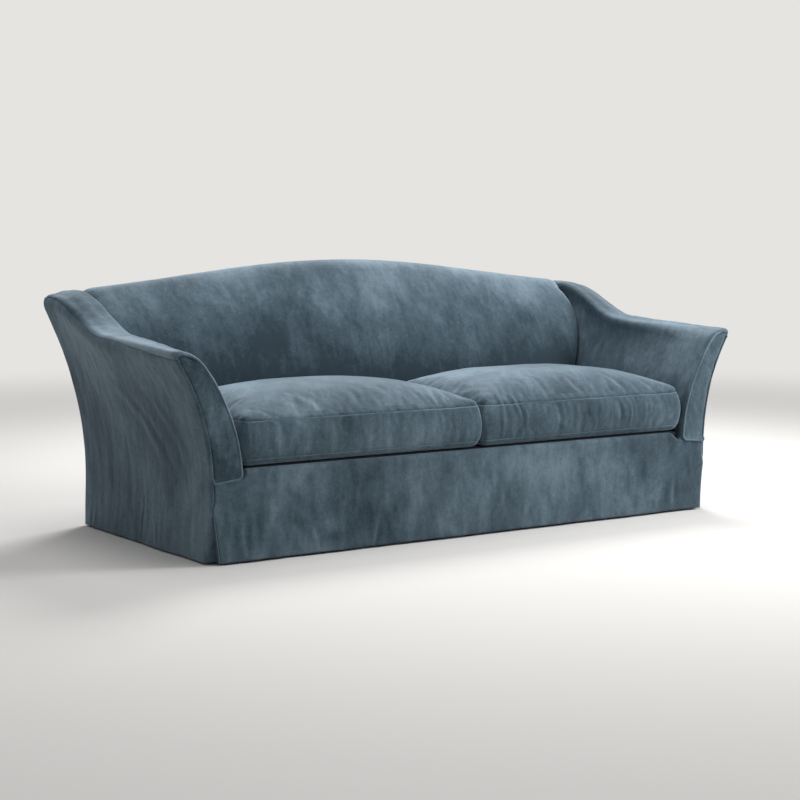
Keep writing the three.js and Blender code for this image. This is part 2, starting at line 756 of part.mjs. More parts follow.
function makeBackFrame() {
  const crestRail = plateAcross(crestRailOutline(0), rearPostFace, rearPostBack);
  place('crest_rail', crestRail, hardwood);

  const padBack = coverGap + backPadThickness + ribEase;
  const tackFront = seatBack + coverGap + backPadThickness + fitGap;
  const tackTop = backFoot + tackRailHeight;
  const tackHalf = armInnerX(seatBack, backFoot) - backSideGroove - backEndRoll;
  const tackRail = board(-tackHalf, tackHalf, tackFront, tackFront + tackRailThickness, backFoot, tackTop);
  place('back_tack_rail', tackRail, hardwood);

  const ribTop = shoulderHeight - crestRailTopInset - crestRailHeight - fitGap;
  const ribInset = { face: padBack, top: coverGap + backTopPad, rear: coverGap };
  const ribPlace = ribPlaceShare * bodyHalfWidth;
  for (const [name, middle] of [['left', -ribPlace], ['center', 0], ['right', ribPlace]]) {
    const face = (z) => new THREE.Vector2(backFaceY(middle, z) + padBack, z);
    const onPad = backProfile(middle, ribInset, false)
      .filter((p) => p.y > tackTop + ribThickness && p.y < ribTop);
    const outline = [
      new THREE.Vector2(rearPostFace, backFoot),
      new THREE.Vector2(rearPostFace, railTop + fitGap),
      new THREE.Vector2(rearPostBack, railTop + fitGap),
      new THREE.Vector2(rearPostBack, ribTop),
      face(ribTop),
      ...onPad.filter((p) => p.x < face(ribTop).x).reverse(),
      face(tackTop + fitGap),
      new THREE.Vector2(tackFront + tackRailThickness + fitGap, tackTop + fitGap),
      new THREE.Vector2(tackFront + tackRailThickness + fitGap, backFoot),
    ];
    const rib = plateAlong(outline, middle - ribThickness / 2, middle + ribThickness / 2);
    place(`back_rib_${name}`, rib, hardwood);
  }
}

// Legs taper to glides that meet the floor under the skirt
function makeLegs() {
  const legAt = (x, y, top) => {
    const height = top - glideHeight - fitGap;
    const leg = new THREE.CylinderGeometry(legTopWidth / Math.SQRT2, legFootWidth / Math.SQRT2, height, 4, 1);
    leg.rotateY(Math.PI / 4);
    leg.rotateX(Math.PI / 2);
    leg.translate(x, y, glideHeight + fitGap + height / 2);
    return leg;
  };
  const glideAt = (x, y) => {
    const glide = new THREE.CylinderGeometry(glideDiameter / 2, glideDiameter / 2, glideHeight, 16, 1);
    glide.rotateX(Math.PI / 2);
    glide.translate(x, y, glideHeight / 2);
    return glide;
  };
  const legX = bodyHalfWidth - legSideSetback;
  const places = [['front', frontFace + legFrontSetback], ['back', rearFace - legFrontSetback]];
  for (const [name, y] of places) {
    placePair(`leg_${name}`, legAt(legX, y, railFoot - fitGap), legWood);
    placePair(`glide_${name}`, glideAt(legX, y), glidePlastic);
  }
  const stretcherFoot = railTop - springWire - stretcherThickness / 2 - stretcherHeight;
  place('leg_center', legAt(0, 0, stretcherFoot - fitGap), legWood);
  place('glide_center', glideAt(0, 0), glidePlastic);
}

// Zigzag seat springs laid from the front rail to the back rail
function makeSprings() {
  const from = frontRailFace + springEndSetback;
  const to = rearPostBack - springEndSetback;
  const loops = Math.round((to - from) / springPitch);
  const stepsPerLoop = 5;
  const count = loops * stepsPerLoop;
  const middle = springBottom + springWire / 2;
  for (let spring = 0; spring < springCount; spring += 1) {
    const offset = (spring - (springCount - 1) / 2) * springSpacing;
    const path = Array.from({ length: count + 1 }, (_, i) => {
      const turn = 2 * Math.PI * i / stepsPerLoop;
      const y = lerp(from, to, i / count) - springPitch * springLoopShare * Math.sin(2 * turn);
      return new THREE.Vector3(offset + springHalfWidth * Math.sin(turn), y, middle);
    });
    const rings = path.map((point, i) => {
      const ahead = path[Math.min(i + 1, count)].clone().sub(path[Math.max(i - 1, 0)]).normalize();
      const beside = new THREE.Vector3(ahead.y, -ahead.x, 0).multiplyScalar(springWire / 2);
      const up = new THREE.Vector3(0, 0, springWire / 2);
      return [
        point.clone().add(beside),
        point.clone().add(up),
        point.clone().sub(beside),
        point.clone().sub(up),
      ];
    });
    place(`seat_spring_${spring + 1}`, ringStack(rings, (p) => new THREE.Vector2(p.x, p.z)), springSteel);
  }
}

function makeDeck() {
  const side = armInnerX(frontFace, waistHeight) - deckSideClearance;
  const front = frontFace + apronRoll + coverGap;
  place('seat_deck', board(-side, side, front, seatBack + deckUnderBack, deckBottom, deckTop), padding);
}

// Plan ring of a cushion, inset from its edge and drawn in between its corners
function cushionRing(box, inset) {
  const halfX = box.halfX - inset;
  const halfY = box.halfY - inset;
  const round = Math.max(cushionCornerRound - inset / 2, leastRound);
  const points = [];
  const corners = [[1, 1, 0], [-1, 1, 1], [-1, -1, 2], [1, -1, 3]];
  corners.forEach(([sideX, sideY, quarter]) => {
    const [centerX, centerY] = [sideX * (halfX - round), sideY * (halfY - round)];
    for (let i = 0; i <= cushionCornerSteps; i += 1) {
      const angle = (quarter + i / cushionCornerSteps) * Math.PI / 2;
      points.push(new THREE.Vector2(centerX + round * Math.cos(angle), centerY + round * Math.sin(angle)));
    }
    const [nextX, nextY] = corners[(quarter + 1) % corners.length];
    const steps = nextX === sideX ? cushionShortSteps : cushionLongSteps;
    const start = points.at(-1);
    const end = nextX === sideX
      ? new THREE.Vector2(nextX * halfX, nextY * (halfY - round))
      : new THREE.Vector2(nextX * (halfX - round), nextY * halfY);
    for (let i = 1; i < steps; i += 1) {
      points.push(start.clone().lerp(end, i / steps));
    }
  });
  return points.map((p) => {
    const [u, v] = [p.x / halfX, p.y / halfY];
    const pullX = cushionDrawIn * Math.max(0, 1 - v * v) * u ** cushionDrawInCurve;
    const pullY = cushionDrawIn * Math.max(0, 1 - u * u) * v ** cushionDrawInCurve;
    return new THREE.Vector2(p.x - pullX, p.y - pullY);
  });
}

// A low dome with a full rolled edge all round it
function crownAt(box, point, inset) {
  const [u, v] = [Math.abs(point.x) / box.halfX, Math.abs(point.y) / box.halfY];
  const reach = (u ** crownSquareShare + v ** crownSquareShare) ** (1 / crownSquareShare);
  const dome = Math.max(0, 1 - reach ** crownFallShare) ** crownFullShare;
  const edge = Math.sqrt(1 - (1 - Math.min(1, inset / cushionEdgeRoll)) ** 2);
  return (cushionCrown - cushionEdgeRise) * dome + cushionEdgeRise * edge;
}

// Crowned cushion shape, shrunk all round by a clearance for its lining and core, which are plainer
function cushionForm(box, shrink) {
  const weltHeight = cushionFoot + cushionBoxing;
  const ringAt = (inset, z) => cushionRing(box, inset + shrink).map(
    (p) => new THREE.Vector3(box.x + p.x, box.y + p.y, z),
  );
  const foot = cushionFoot + shrink;
  const sides = [
    ringAt(box.halfY / 2, foot),
    ringAt(cushionEdgeRound + cushionBulge, foot),
    ringAt(cushionBulge + cushionEdgeRound / 4, foot + cushionEdgeRound / 2),
    ringAt(cushionBulge, foot + cushionEdgeBandRise),
    ringAt(0, cushionFoot + cushionBoxing / 2),
    ringAt(cushionBulge, weltHeight - shrink),
  ];
  const crown = crownRingShares.map((share) => {
    const inset = cushionBulge + share * (box.halfY - cushionBulge);
    return cushionRing(box, inset + shrink).map((p) => {
      const z = weltHeight + crownAt(box, p, inset) - shrink;
      return new THREE.Vector3(box.x + p.x, box.y + p.y, z);
    });
  });
  const peak = cushionRing(box, box.halfY * crownPeakShare).map(
    (p) => new THREE.Vector3(box.x + p.x, box.y + p.y, weltHeight + cushionCrown - shrink),
  );
  const plain = [sides[0], sides[1], sides[3], sides[5], crown[1], crown[3], crown[4], peak];
  return ringStack(shrink ? plain : [...sides, ...crown, peak], (p) => new THREE.Vector2(p.x, p.y));
}

function makeCushions() {
  const outerSide = armInnerX(frontFace, cushionFoot) - cushionSideClearance;
  const innerSide = cushionMidGap / 2;
  const front = frontFace + cushionFrontSetback;
  const back = seatBack - cushionBackClearance;
  const box = {
    x: (outerSide + innerSide) / 2,
    y: (front + back) / 2,
    halfX: (outerSide - innerSide) / 2,
    halfY: (back - front) / 2,
  };
  const shell = solidOf(cushionForm(box, 0)).subtract(solidOf(cushionForm(box, coverThickness)));
  const zipHeight = cushionFoot + cushionBoxing / 2;
  const slotAt = (grow) => board(
    box.x - zipLength / 2 - grow,
    box.x + zipLength / 2 + grow,
    back - zipWallReach,
    back + zipWallReach,
    zipHeight - zipWidth / 2 - grow,
    zipHeight + zipWidth / 2 + grow,
  );
  placePair('cushion_cover', geometryOf(shell.subtract(solidOf(slotAt(fitGap)))), velvet);
  placePair('cushion_core', cushionForm(box, coverGap), foam);
  placePair('cushion_zip', geometryOf(shell.intersect(solidOf(slotAt(0)))), pleatCloth);

  const sliderTop = zipHeight + zipWidth / 2;
  const sliderFoot = zipHeight - zipWidth / 2;
  const sliderMiddle = zipLength / 2 - sliderLength;
  for (const [name, side] of [['right', 1], ['left', -1]]) {
    const start = side * box.x - sliderMiddle;
    const tab = new THREE.Shape([
      new THREE.Vector2(start - sliderLength / 2, sliderTop),
      new THREE.Vector2(start - sliderLength / 2, sliderFoot),
      new THREE.Vector2(start - sliderTabWidth / 2, sliderFoot),
      new THREE.Vector2(start - sliderTabWidth / 2, sliderFoot - sliderTabLength),
      new THREE.Vector2(start + sliderTabWidth / 2, sliderFoot - sliderTabLength),
      new THREE.Vector2(start + sliderTabWidth / 2, sliderFoot),
      new THREE.Vector2(start + sliderLength / 2, sliderFoot),
      new THREE.Vector2(start + sliderLength / 2, sliderTop),
    ]);
    const drawnIn = cushionDrawIn * (1 - (sliderMiddle / box.halfX) ** 2);
    const face = back - drawnIn + 2 * fitGap;
    place(`zip_slider_${name}`, plateAcross(tab.getPoints(), face, face + sliderThickness), zipMetal);
  }
}

function makeSlipcover() {
  placePair('outside_arm_cover', makeOutsideArmCover(), velvet);
  placePair('arm_front_panel', makeArmFrontPanel(), velvet);
  place('inside_back_cover', makeInsideBackCover(), velvet);
  place('outside_back_cover', makeOutsideBackCover(), velvet);
  place('front_skirt', makeFrontSkirt(), velvet);
  placePair('pleat_underlay', makePleatUnderlay(), pleatCloth);

  const seat = plateAcross(crestRailOutline(fitGap), rearPostFace - fitGap, rearPostBack + fitGap);
  placePair('inside_arm_cover', cutBy(makeArmTopAndInsideCover(), seat), velvet);
  placePair('arm_pad', cutBy(makeArmPad(), seat), padding);
  place('back_pad', makeBackPad(), padding);
}

makeFrame();
makeBackFrame();
makeLegs();
makeSprings();
makeDeck();
makeSlipcover();
makeCushions();

export default sofa;
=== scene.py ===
import json
import math

import bmesh
import bpy
import numpy as np
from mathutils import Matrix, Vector, bvhtree, kdtree, noise


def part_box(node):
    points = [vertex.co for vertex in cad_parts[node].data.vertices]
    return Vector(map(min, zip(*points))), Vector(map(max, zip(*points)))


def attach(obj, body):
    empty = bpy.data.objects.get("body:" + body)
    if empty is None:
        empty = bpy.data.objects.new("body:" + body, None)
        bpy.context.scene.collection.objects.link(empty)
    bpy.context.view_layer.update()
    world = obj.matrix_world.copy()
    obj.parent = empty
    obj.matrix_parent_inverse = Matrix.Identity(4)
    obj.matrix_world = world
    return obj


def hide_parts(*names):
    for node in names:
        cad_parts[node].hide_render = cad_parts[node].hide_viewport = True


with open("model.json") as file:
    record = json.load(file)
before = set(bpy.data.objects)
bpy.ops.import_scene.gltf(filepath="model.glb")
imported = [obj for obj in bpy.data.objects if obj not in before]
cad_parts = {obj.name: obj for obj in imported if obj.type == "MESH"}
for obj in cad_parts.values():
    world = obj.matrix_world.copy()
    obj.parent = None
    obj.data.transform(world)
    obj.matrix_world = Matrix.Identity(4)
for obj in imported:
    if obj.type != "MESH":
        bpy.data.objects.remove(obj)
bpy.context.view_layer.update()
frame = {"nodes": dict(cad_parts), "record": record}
nodes = frame["nodes"]
print("frame loaded,", len(nodes), "nodes")


# ---- shape of the sofa, metres ----

sofaForm = {
    "depth": 0.946,
    "rear": 0.473,
    "halfWidth": 1.029,
    "waist": 0.220,
    "hem": 0.006,
    "crest": 0.919,
    "shoulder": 0.822,
    "crestRunOut": 1.150,
    "crestFullness": 0.85,
    "seatBack": 0.173,
    "ridgeSetback": 0.227,
    "knee": 0.440,
    "rearSway": 0.008,
    "swayTop": 0.12,
}

armForm = {
    "frontHeight": 0.664,
    "lineEndHeight": 0.715,
    "wing": 0.812,
    "swoopStart": 0.053,
    "swoopEnd": 0.413,
    "flareFront": 0.133,
    "flareRear": 0.164,
    "curlFront": 2.3,
    "curlRear": 1.82,
    "thickness": 0.120,
    "thinning": 0.032,
    "fall": (0.005, -0.017),
    "fallRun": (-0.050, 0.330),
    "outerRound": (0.032, 0.056),
    "innerRound": (0.047, 0.034),
    "seamDrop": (0.025, 0.012),
    "seamRun": (-0.440, 0.020),
    "seamGap": (0.0005, 0.00004),
    "topRoll": 0.078,
    "rollRun": (-0.465, -0.005),
    "rollCurve": 12,
    "crown": 0.0045,
    "foot": 0.2743,
    "insetShares": (0.75, 1.0, 1.05),
}

sideSign = {"left": -1, "right": 1}


def ease(t):
    t = np.clip(t, 0, 1)
    return t * t * (3 - 2 * t)


def mix(a, b, t):
    return a + (b - a) * t


def depthShare(y):
    return np.clip((y + sofaForm["depth"] / 2) / sofaForm["depth"], 0, 1)


def armTop(y):
    line = mix(armForm["frontHeight"], armForm["lineEndHeight"], depthShare(y))
    swoop = ease((y - armForm["swoopStart"]) / (armForm["swoopEnd"] - armForm["swoopStart"]))
    return line + (armForm["wing"] - armForm["lineEndHeight"]) * swoop


def armLift(y, z):
    return np.maximum(0, z - sofaForm["waist"]) / (armTop(y) - sofaForm["waist"])


def armOuterX(y, z):
    flare = mix(armForm["flareFront"], armForm["flareRear"], depthShare(y))
    curl = mix(armForm["curlFront"], armForm["curlRear"], depthShare(y))
    return sofaForm["halfWidth"] + flare * armLift(y, z) ** curl


def armInnerX(y, z):
    return armOuterX(y, z) - armForm["thickness"] + armForm["thinning"] * armLift(y, z) ** 2


def runShare(y, run):
    return ease((y - run[0]) / (run[1] - run[0]))


def armRolledX(y, z):
    # the top's padding rolls out over the seat
    roll = armForm["topRoll"] * runShare(y, armForm["rollRun"])
    return armInnerX(y, z) - roll * np.minimum(1, armLift(y, z)) ** armForm["rollCurve"]


def outerRoundAt(y):
    return mix(*armForm["outerRound"], runShare(y, armForm["rollRun"]))


def seamDropAt(y):
    return mix(*armForm["seamDrop"], runShare(y, armForm["seamRun"]))


def seamGapAt(y):
    # half of the open seam under the arm's top, which closes towards the rear
    return mix(*armForm["seamGap"], runShare(y, armForm["seamRun"]))


def quarterRound(distance, width):
    # a quarter circle's rise from 0 to 1, a given way from its start
    return np.sqrt(1 - (1 - np.clip(distance / width, 0, 1)) ** 2)


def arcInset(radius, drop):
    # how far a rounded edge lies in from its corner, a given way below the top
    return radius * (1 - quarterRound(drop, radius))


def armSkinX(y, z):
    return armOuterX(y, z) - arcInset(outerRoundAt(y), armTop(y) - z)


def hemShare(z):
    return (np.maximum(0, sofaForm["waist"] - z) / sofaForm["waist"]) ** 2


def rearSway(z):
    # the cloth hangs in a little at the rear, low down
    return sofaForm["rearSway"] * np.maximum(0, 1 - z / sofaForm["swayTop"]) ** 2


def crestAt(x):
    hump = 0.5 + 0.5 * np.cos(math.pi * np.minimum(1, np.abs(x) / sofaForm["crestRunOut"]))
    return mix(sofaForm["shoulder"], sofaForm["crest"], hump ** sofaForm["crestFullness"])


def backFaceY(x, z):
    rise = np.maximum(0, z - sofaForm["knee"]) / (crestAt(x) - sofaForm["knee"])
    return sofaForm["seatBack"] + sofaForm["ridgeSetback"] * rise ** 2


# ---- tools for cloth ----

# noise over the cloth, and the shape of one fold: in steps along it, in shares of its half width and height
cloudForm = {"roughness": 0.8, "spacing": 2.1, "seedShift": (1, -0.7, 0.3)}
creaseForm = {
    "steps": 24,
    "cut": 5,
    "taper": 0.7,
    "valley": 0.45,
    "valleyAt": 2.1,
    "valleyWidth": 1.1,
    # how much wider a fold's painted light and shade spreads than its relief
    "shadingSpread": 1.2,
}


def bell(distance, width):
    return np.exp(-(distance / width) ** 2)


def bend(start, corner, end, count):
    # points round a corner, without its first one
    t = np.linspace(0, 1, count + 1)[1:, None]
    start, corner, end = np.array(start), np.array(corner), np.array(end)
    return (1 - t) ** 2 * start + 2 * t * (1 - t) * corner + t * t * end


def alongPath(points, count):
    # the same path in steps of equal length
    steps = np.linalg.norm(np.diff(points, axis=0), axis=1)
    reached = np.concatenate([[0], np.cumsum(steps)])
    wanted = np.linspace(0, reached[-1], count + 1)
    return np.stack([np.interp(wanted, reached, points[:, i]) for i in range(points.shape[1])], axis=1)


def spreadLengths(table):
    # how far each point of a table of points lies along its row and its column of cloth
    across = np.linalg.norm(np.diff(table, axis=0), axis=2)
    along = np.linalg.norm(np.diff(table, axis=1), axis=2)
    s = np.concatenate([np.zeros((1, table.shape[1])), np.cumsum(across, axis=0)])
    t = np.concatenate([np.zeros((table.shape[0], 1)), np.cumsum(along, axis=1)], axis=1)
    return s, t


def normalsOf(table, facing):
    across = np.gradient(table, axis=0)
    along = np.gradient(table, axis=1)
    normal = np.cross(across, along)
    normal /= np.linalg.norm(normal, axis=2, keepdims=True) + 1e-12
    turned = float((normal @ np.array(facing)).sum()) < 0
    return (-normal if turned else normal), turned


def clouds(points, size, seed, octaves=3):
    # smooth noise over points, about -1 to 1
    v = cloudForm
    places = points.reshape(-1, 3) / size + np.array(v["seedShift"]) * seed
    values = [noise.fractal(Vector(place), v["roughness"], v["spacing"], octaves) for place in places]
    return np.array(values).reshape(points.shape[:-1])


def ripples(positions, size, seed):
    # smooth noise along one direction
    flat = positions.ravel() / size
    values = [noise.noise(Vector((x + seed, seed * 1.7, seed * 0.4))) for x in flat]
    return np.array(values).reshape(positions.shape)


def creases(points, paths):
    # each path is points in space, a half width and a height; its ends fade out
    v = creaseForm
    flat = points.reshape(-1, 3)
    total = np.zeros(len(flat))
    for path, width, height in paths:
        path = alongPath(np.array(path, float), v["steps"])
        middle = path.mean(0)
        reach = np.linalg.norm(path - middle, axis=1).max() + width * v["cut"]
        near = np.linalg.norm(flat - middle, axis=1) < reach
        away = np.linalg.norm(flat[near][:, None, :] - path[None], axis=2)
        distance = away.min(1)
        along = np.clip((away.argmin(1) + 0.5) / (v["steps"] + 1), 0, 1)
        ridge = bell(distance, width)
        ridge -= v["valley"] * bell(distance - v["valleyAt"] * width, v["valleyWidth"] * width)
        total[near] += height * np.sin(math.pi * along) ** v["taper"] * ridge
    return total.reshape(points.shape[:-1])


def readFolds(points, folds, missing, share=1.0):
    # relief of folds read off the photo, whose points leave one axis out, and the painted light and shade
    # laid along them
    read = points.copy()
    read[..., missing] = 0
    laid = [(np.insert(line, missing, 0, axis=1), *rest) for line, *rest in folds]
    relief = creases(read, [(line, wide, high * share) for line, wide, high, paintedTone in laid])
    paintedShading = creases(read, [(line, wide * creaseForm["shadingSpread"], paintedTone) for line, wide, high, paintedTone in laid])
    return relief, paintedShading


def finishMesh(name, bm, material, body):
    mesh = bpy.data.meshes.new(name)
    bm.to_mesh(mesh)
    bm.free()
    piece = bpy.data.objects.new(name, mesh)
    bpy.context.scene.collection.objects.link(piece)
    mesh.materials.append(material)
    mesh.shade_smooth()
    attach(piece, body)
    return piece


def gridMesh(table, across, along, paintedShading=None):
    # a grid of faces over a table of points, with a UV map in metres
    rows, columns = table.shape[0] - 1, table.shape[1] - 1
    bm = bmesh.new()
    uvLayer = bm.loops.layers.uv.new("cloth")
    paintedShadingLayer = None if paintedShading is None else bm.verts.layers.float.new("paintedShading")
    bmesh.ops.create_grid(bm, x_segments=rows, y_segments=columns, size=0.5)
    places = {}
    for vert in bm.verts:
        i, j = round((vert.co.x + 0.5) * rows), round((vert.co.y + 0.5) * columns)
        places[vert.index] = (i, j)
        vert.co = table[i, j]
        if paintedShading is not None:
            vert[paintedShadingLayer] = float(paintedShading[i, j])
    for face in bm.faces:
        for loop in face.loops:
            i, j = places[loop.vert.index]
            loop[uvLayer].uv = (across[i], along[i, j])
    return bm


def clothFrom(name, table, facing, material, relief, body="sofa", thickness=0.003, paintedShading=0.0):
    # a sheet of cloth laid over a table of points, carrying painted light and shade
    s, t = spreadLengths(table)
    normal, turned = normalsOf(table, facing)
    table = table + normal * relief[..., None]
    bm = gridMesh(table, s[:, s.shape[1] // 2], t, np.broadcast_to(paintedShading, table.shape[:2]))
    if turned:
        bmesh.ops.reverse_faces(bm, faces=bm.faces)
    piece = finishMesh(name, bm, material, body)
    wall = piece.modifiers.new("wall", "SOLIDIFY")
    wall.thickness = thickness
    wall.offset = -1
    wall.use_rim = True
    return piece


def cordOf(name, path, radius, material, body="sofa", sides=10, closed=False):
    # a welt: a thin tube of cloth sewn along a seam
    path = np.array(path, float)
    ahead = np.roll(path, -1, axis=0) - np.roll(path, 1, axis=0)
    if not closed:
        ahead[0], ahead[-1] = path[1] - path[0], path[-1] - path[-2]
    ahead /= np.linalg.norm(ahead, axis=1, keepdims=True)
    side = np.cross(ahead[0], (0.13, 0.27, 0.95))
    turn = np.linspace(0, 2 * math.pi, sides + 1)[:, None]
    rings = []
    for place, forward in zip(path, ahead):
        side = side - forward * (side @ forward)
        side = side / np.linalg.norm(side)
        up = np.cross(forward, side)
        rings.append(place + radius * (np.cos(turn) * side + np.sin(turn) * up))
    if closed:
        rings.append(rings[0])
    table = np.array(rings)
    s, t = spreadLengths(table)
    bm = gridMesh(table, s[:, 0], t)
    bmesh.ops.remove_doubles(bm, verts=bm.verts, dist=radius * 0.02)
    bmesh.ops.holes_fill(bm, edges=[edge for edge in bm.edges if edge.is_boundary], sides=0)
    bmesh.ops.recalc_face_normals(bm, faces=bm.faces)
    finishMesh(name, bm, material, body)


# ---- velvet and the other finishes ----

velvetLook = {
    "ramp": [
        (0.22, (0.024, 0.044, 0.060)),
        (0.50, (0.068, 0.108, 0.138)),
        (0.80, (0.150, 0.212, 0.258)),
    ],
    "shader": {
        "Roughness": 0.86,
        "Specular IOR Level": 0.25,
        "Sheen Weight": 0.80,
        "Sheen Roughness": 0.36,
        "Sheen Tint": (0.62, 0.77, 0.90, 1),
    },
    "objectShift": (1.3, 0.7, 2.1),
    "sourceShift": (1, 0.6, 0.8),
    "paintedShadingShare": 0.17,
    "bumpStrength": 0.24,
    "bumpDistance": 0.004,
    # clouds, patches, strokes, mottling, grain: coordinates, scale, detail, roughness, distortion, share
    "layers": [
        ("object", 3.0, 1.5, 0.5, 0.3, 0.75),
        ("patches", 1.0, 2.0, 0.5, 0.7, 0.50),
        ("strokes", 1.0, 3.0, 0.55, 0.5, 0.42),
        ("object", 62.0, 4.0, 0.62, 0.6, 0.34),
        ("object", 250.0, 2.0, 0.6, 0.0, 0.30),
    ],
    # the relief of the pile, given the same way
    "reliefs": [
        ("unshifted", 620.0, 2.0, 0.6, 0.0, 0.45),
        ("strokes", 2.0, 3.0, 0.6, 0.5, 0.55),
    ],
}

plainLook = {"noise": (6.0, 0.6, 0.4), "darkAt": 0.32, "lightAt": 0.68, "bumpDistance": 0.001}


def nodeMaterial(name):
    material = bpy.data.materials.new(name)
    material.use_nodes = True
    tree = material.node_tree
    return material, tree, tree.nodes["Principled BSDF"]


def setInputs(node, values):
    for key, value in values.items():
        node.inputs[key].default_value = value


def addNode(tree, kind, inputs={}, **values):
    node = tree.nodes.new(kind)
    setInputs(node, inputs)
    for key, value in values.items():
        setattr(node, key, value)
    return node


def addNoise(tree, source, scale, detail, roughness, distortion):
    look = {"Scale": scale, "Detail": detail, "Roughness": roughness, "Distortion": distortion}
    node = addNode(tree, "ShaderNodeTexNoise", look)
    tree.links.new(source, node.inputs["Vector"])
    return node.outputs["Fac"]


def mapped(tree, source, location=(0, 0, 0), scale=(1, 1, 1)):
    node = addNode(tree, "ShaderNodeMapping", {"Location": location, "Scale": scale})
    tree.links.new(source, node.inputs["Vector"])
    return node.outputs["Vector"]


def mathNode(tree, operation, a, b):
    node = addNode(tree, "ShaderNodeMath", operation=operation)
    for socket, value in zip(node.inputs, (a, b)):
        if isinstance(value, (int, float)):
            socket.default_value = value
        else:
            tree.links.new(value, socket)
    return node.outputs[0]


def addLayers(tree, places, layers, value):
    for place, *look, share in layers:
        layer = addNoise(tree, places[place], *look)
        value = mathNode(tree, "ADD", mathNode(tree, "MULTIPLY", layer, share), value)
    return value


def addColour(tree, shader, source, stops):
    node = addNode(tree, "ShaderNodeValToRGB")
    ramp = node.color_ramp
    while len(ramp.elements) < len(stops):
        ramp.elements.new(0.5)
    for element, (place, colour) in zip(ramp.elements, stops):
        element.position = place
        element.color = (*colour, 1)
    tree.links.new(source, node.inputs["Fac"])
    tree.links.new(node.outputs["Color"], shader.inputs["Base Color"])


def addBump(tree, shader, height, strength, distance):
    bump = addNode(tree, "ShaderNodeBump", {"Strength": strength, "Distance": distance})
    tree.links.new(height, bump.inputs["Height"])
    tree.links.new(bump.outputs["Normal"], shader.inputs["Normal"])


def makeVelvet(name, seed, source="UV", patches=(9.0, 5.0, 5.0), strokes=(36.0, 9.0, 9.0), lift=0.0):
    # velvet: broad clouds, patches and strokes where the pile lies another way, mottling and fine grain;
    # painted light and shade from the mesh is added to them, and lift is a painted highlight over the whole
    # piece
    look = velvetLook
    material, tree, shader = nodeMaterial(name)
    place = addNode(tree, "ShaderNodeTexCoord").outputs
    shifted = mapped(tree, place["Object"], location=[seed * share for share in look["objectShift"]])
    moved = mapped(tree, place[source], location=[seed * share for share in look["sourceShift"]])
    places = {
        "unshifted": place["Object"],
        "object": shifted,
        "patches": mapped(tree, moved, scale=patches),
        "strokes": mapped(tree, moved, scale=strokes),
    }
    start = 0.5 - 0.5 * sum(layer[-1] for layer in look["layers"]) + lift
    value = addLayers(tree, places, look["layers"], start)
    # painted light and shade carried on the mesh darkens or lightens the tone
    paintedTone = addNode(tree, "ShaderNodeAttribute", attribute_name="paintedShading").outputs["Fac"]
    value = mathNode(tree, "ADD", mathNode(tree, "MULTIPLY", paintedTone, look["paintedShadingShare"]), value)
    addColour(tree, shader, value, look["ramp"])
    height = addLayers(tree, places, look["reliefs"], 0.0)
    addBump(tree, shader, height, look["bumpStrength"], look["bumpDistance"])
    setInputs(shader, look["shader"])
    return material


def makePlain(name, dark, light, scale, roughness, metallic=0.0, stretch=(1, 1, 1), bumpStrength=0.2):
    # one mottled or grained finish for wood, foam, metal and plastic
    look = plainLook
    material, tree, shader = nodeMaterial(name)
    place = addNode(tree, "ShaderNodeTexCoord").outputs["Object"]
    value = addNoise(tree, mapped(tree, place, scale=stretch), scale, *look["noise"])
    addColour(tree, shader, value, [(look["darkAt"], dark), (look["lightAt"], light)])
    addBump(tree, shader, value, bumpStrength, look["bumpDistance"])
    setInputs(shader, {"Roughness": roughness, "Metallic": metallic})
    return material


velvetArm = makeVelvet("velvetArm", 3.0, "Object", patches=(7.0, 7.0, 3.4), strokes=(38.0, 38.0, 12.0))
velvetPanel = makeVelvet("velvetPanel", 11.0, "Object", patches=(16.0, 16.0, 7.0), strokes=(44.0, 44.0, 13.0))
velvetBack = makeVelvet("velvetBack", 5.0, "Object", patches=(7.0, 5.0, 4.2), strokes=(34.0, 18.0, 11.0))
velvetSkirt = makeVelvet("velvetSkirt", 13.0, "Object", patches=(10.0, 8.0, 6.5), strokes=(34.0, 20.0, 11.0))
velvetCushion = makeVelvet("velvetCushion", 17.0, patches=(9.0, 6.0, 6.0), strokes=(44.0, 10.0, 10.0))
# the welts' velvet is lifted lighter: a painted highlight along every welt
velvetWelt = makeVelvet("velvetWelt", 19.0, "Object", lift=0.10)
liningCloth = makePlain("liningCloth", (0.020, 0.032, 0.042), (0.045, 0.064, 0.080), 90.0, 0.95)
deckCloth = makePlain("deckCloth", (0.008, 0.016, 0.025), (0.016, 0.030, 0.043), 90.0, 0.98)
zipCloth = makePlain("zipCloth", (0.018, 0.026, 0.034), (0.040, 0.052, 0.062), 240.0, 0.9)
cottonPad = makePlain("cottonPad", (0.62, 0.56, 0.44), (0.86, 0.82, 0.72), 38.0, 0.95)
foamLook = makePlain("foamLook", (0.74, 0.66, 0.38), (0.86, 0.80, 0.54), 160.0, 0.9)
frameWood = makePlain("frameWood", (0.30, 0.18, 0.08), (0.52, 0.34, 0.17), 7.0, 0.6, stretch=(1, 9, 9))
legWood = makePlain("legWood", (0.035, 0.018, 0.010), (0.10, 0.055, 0.030), 9.0, 0.42, stretch=(8, 8, 1))
springSteel = makePlain(
    "springSteel", (0.20, 0.21, 0.22), (0.42, 0.43, 0.45), 60.0, 0.4, metallic=1.0, bumpStrength=0.08)
glidePlastic = makePlain(
    "glidePlastic", (0.012, 0.012, 0.013), (0.035, 0.035, 0.036), 120.0, 0.5, bumpStrength=0.1)
zipMetal = makePlain(
    "zipMetal", (0.30, 0.28, 0.24), (0.56, 0.53, 0.47), 180.0, 0.36, metallic=1.0, bumpStrength=0.1)
print("finishes made")
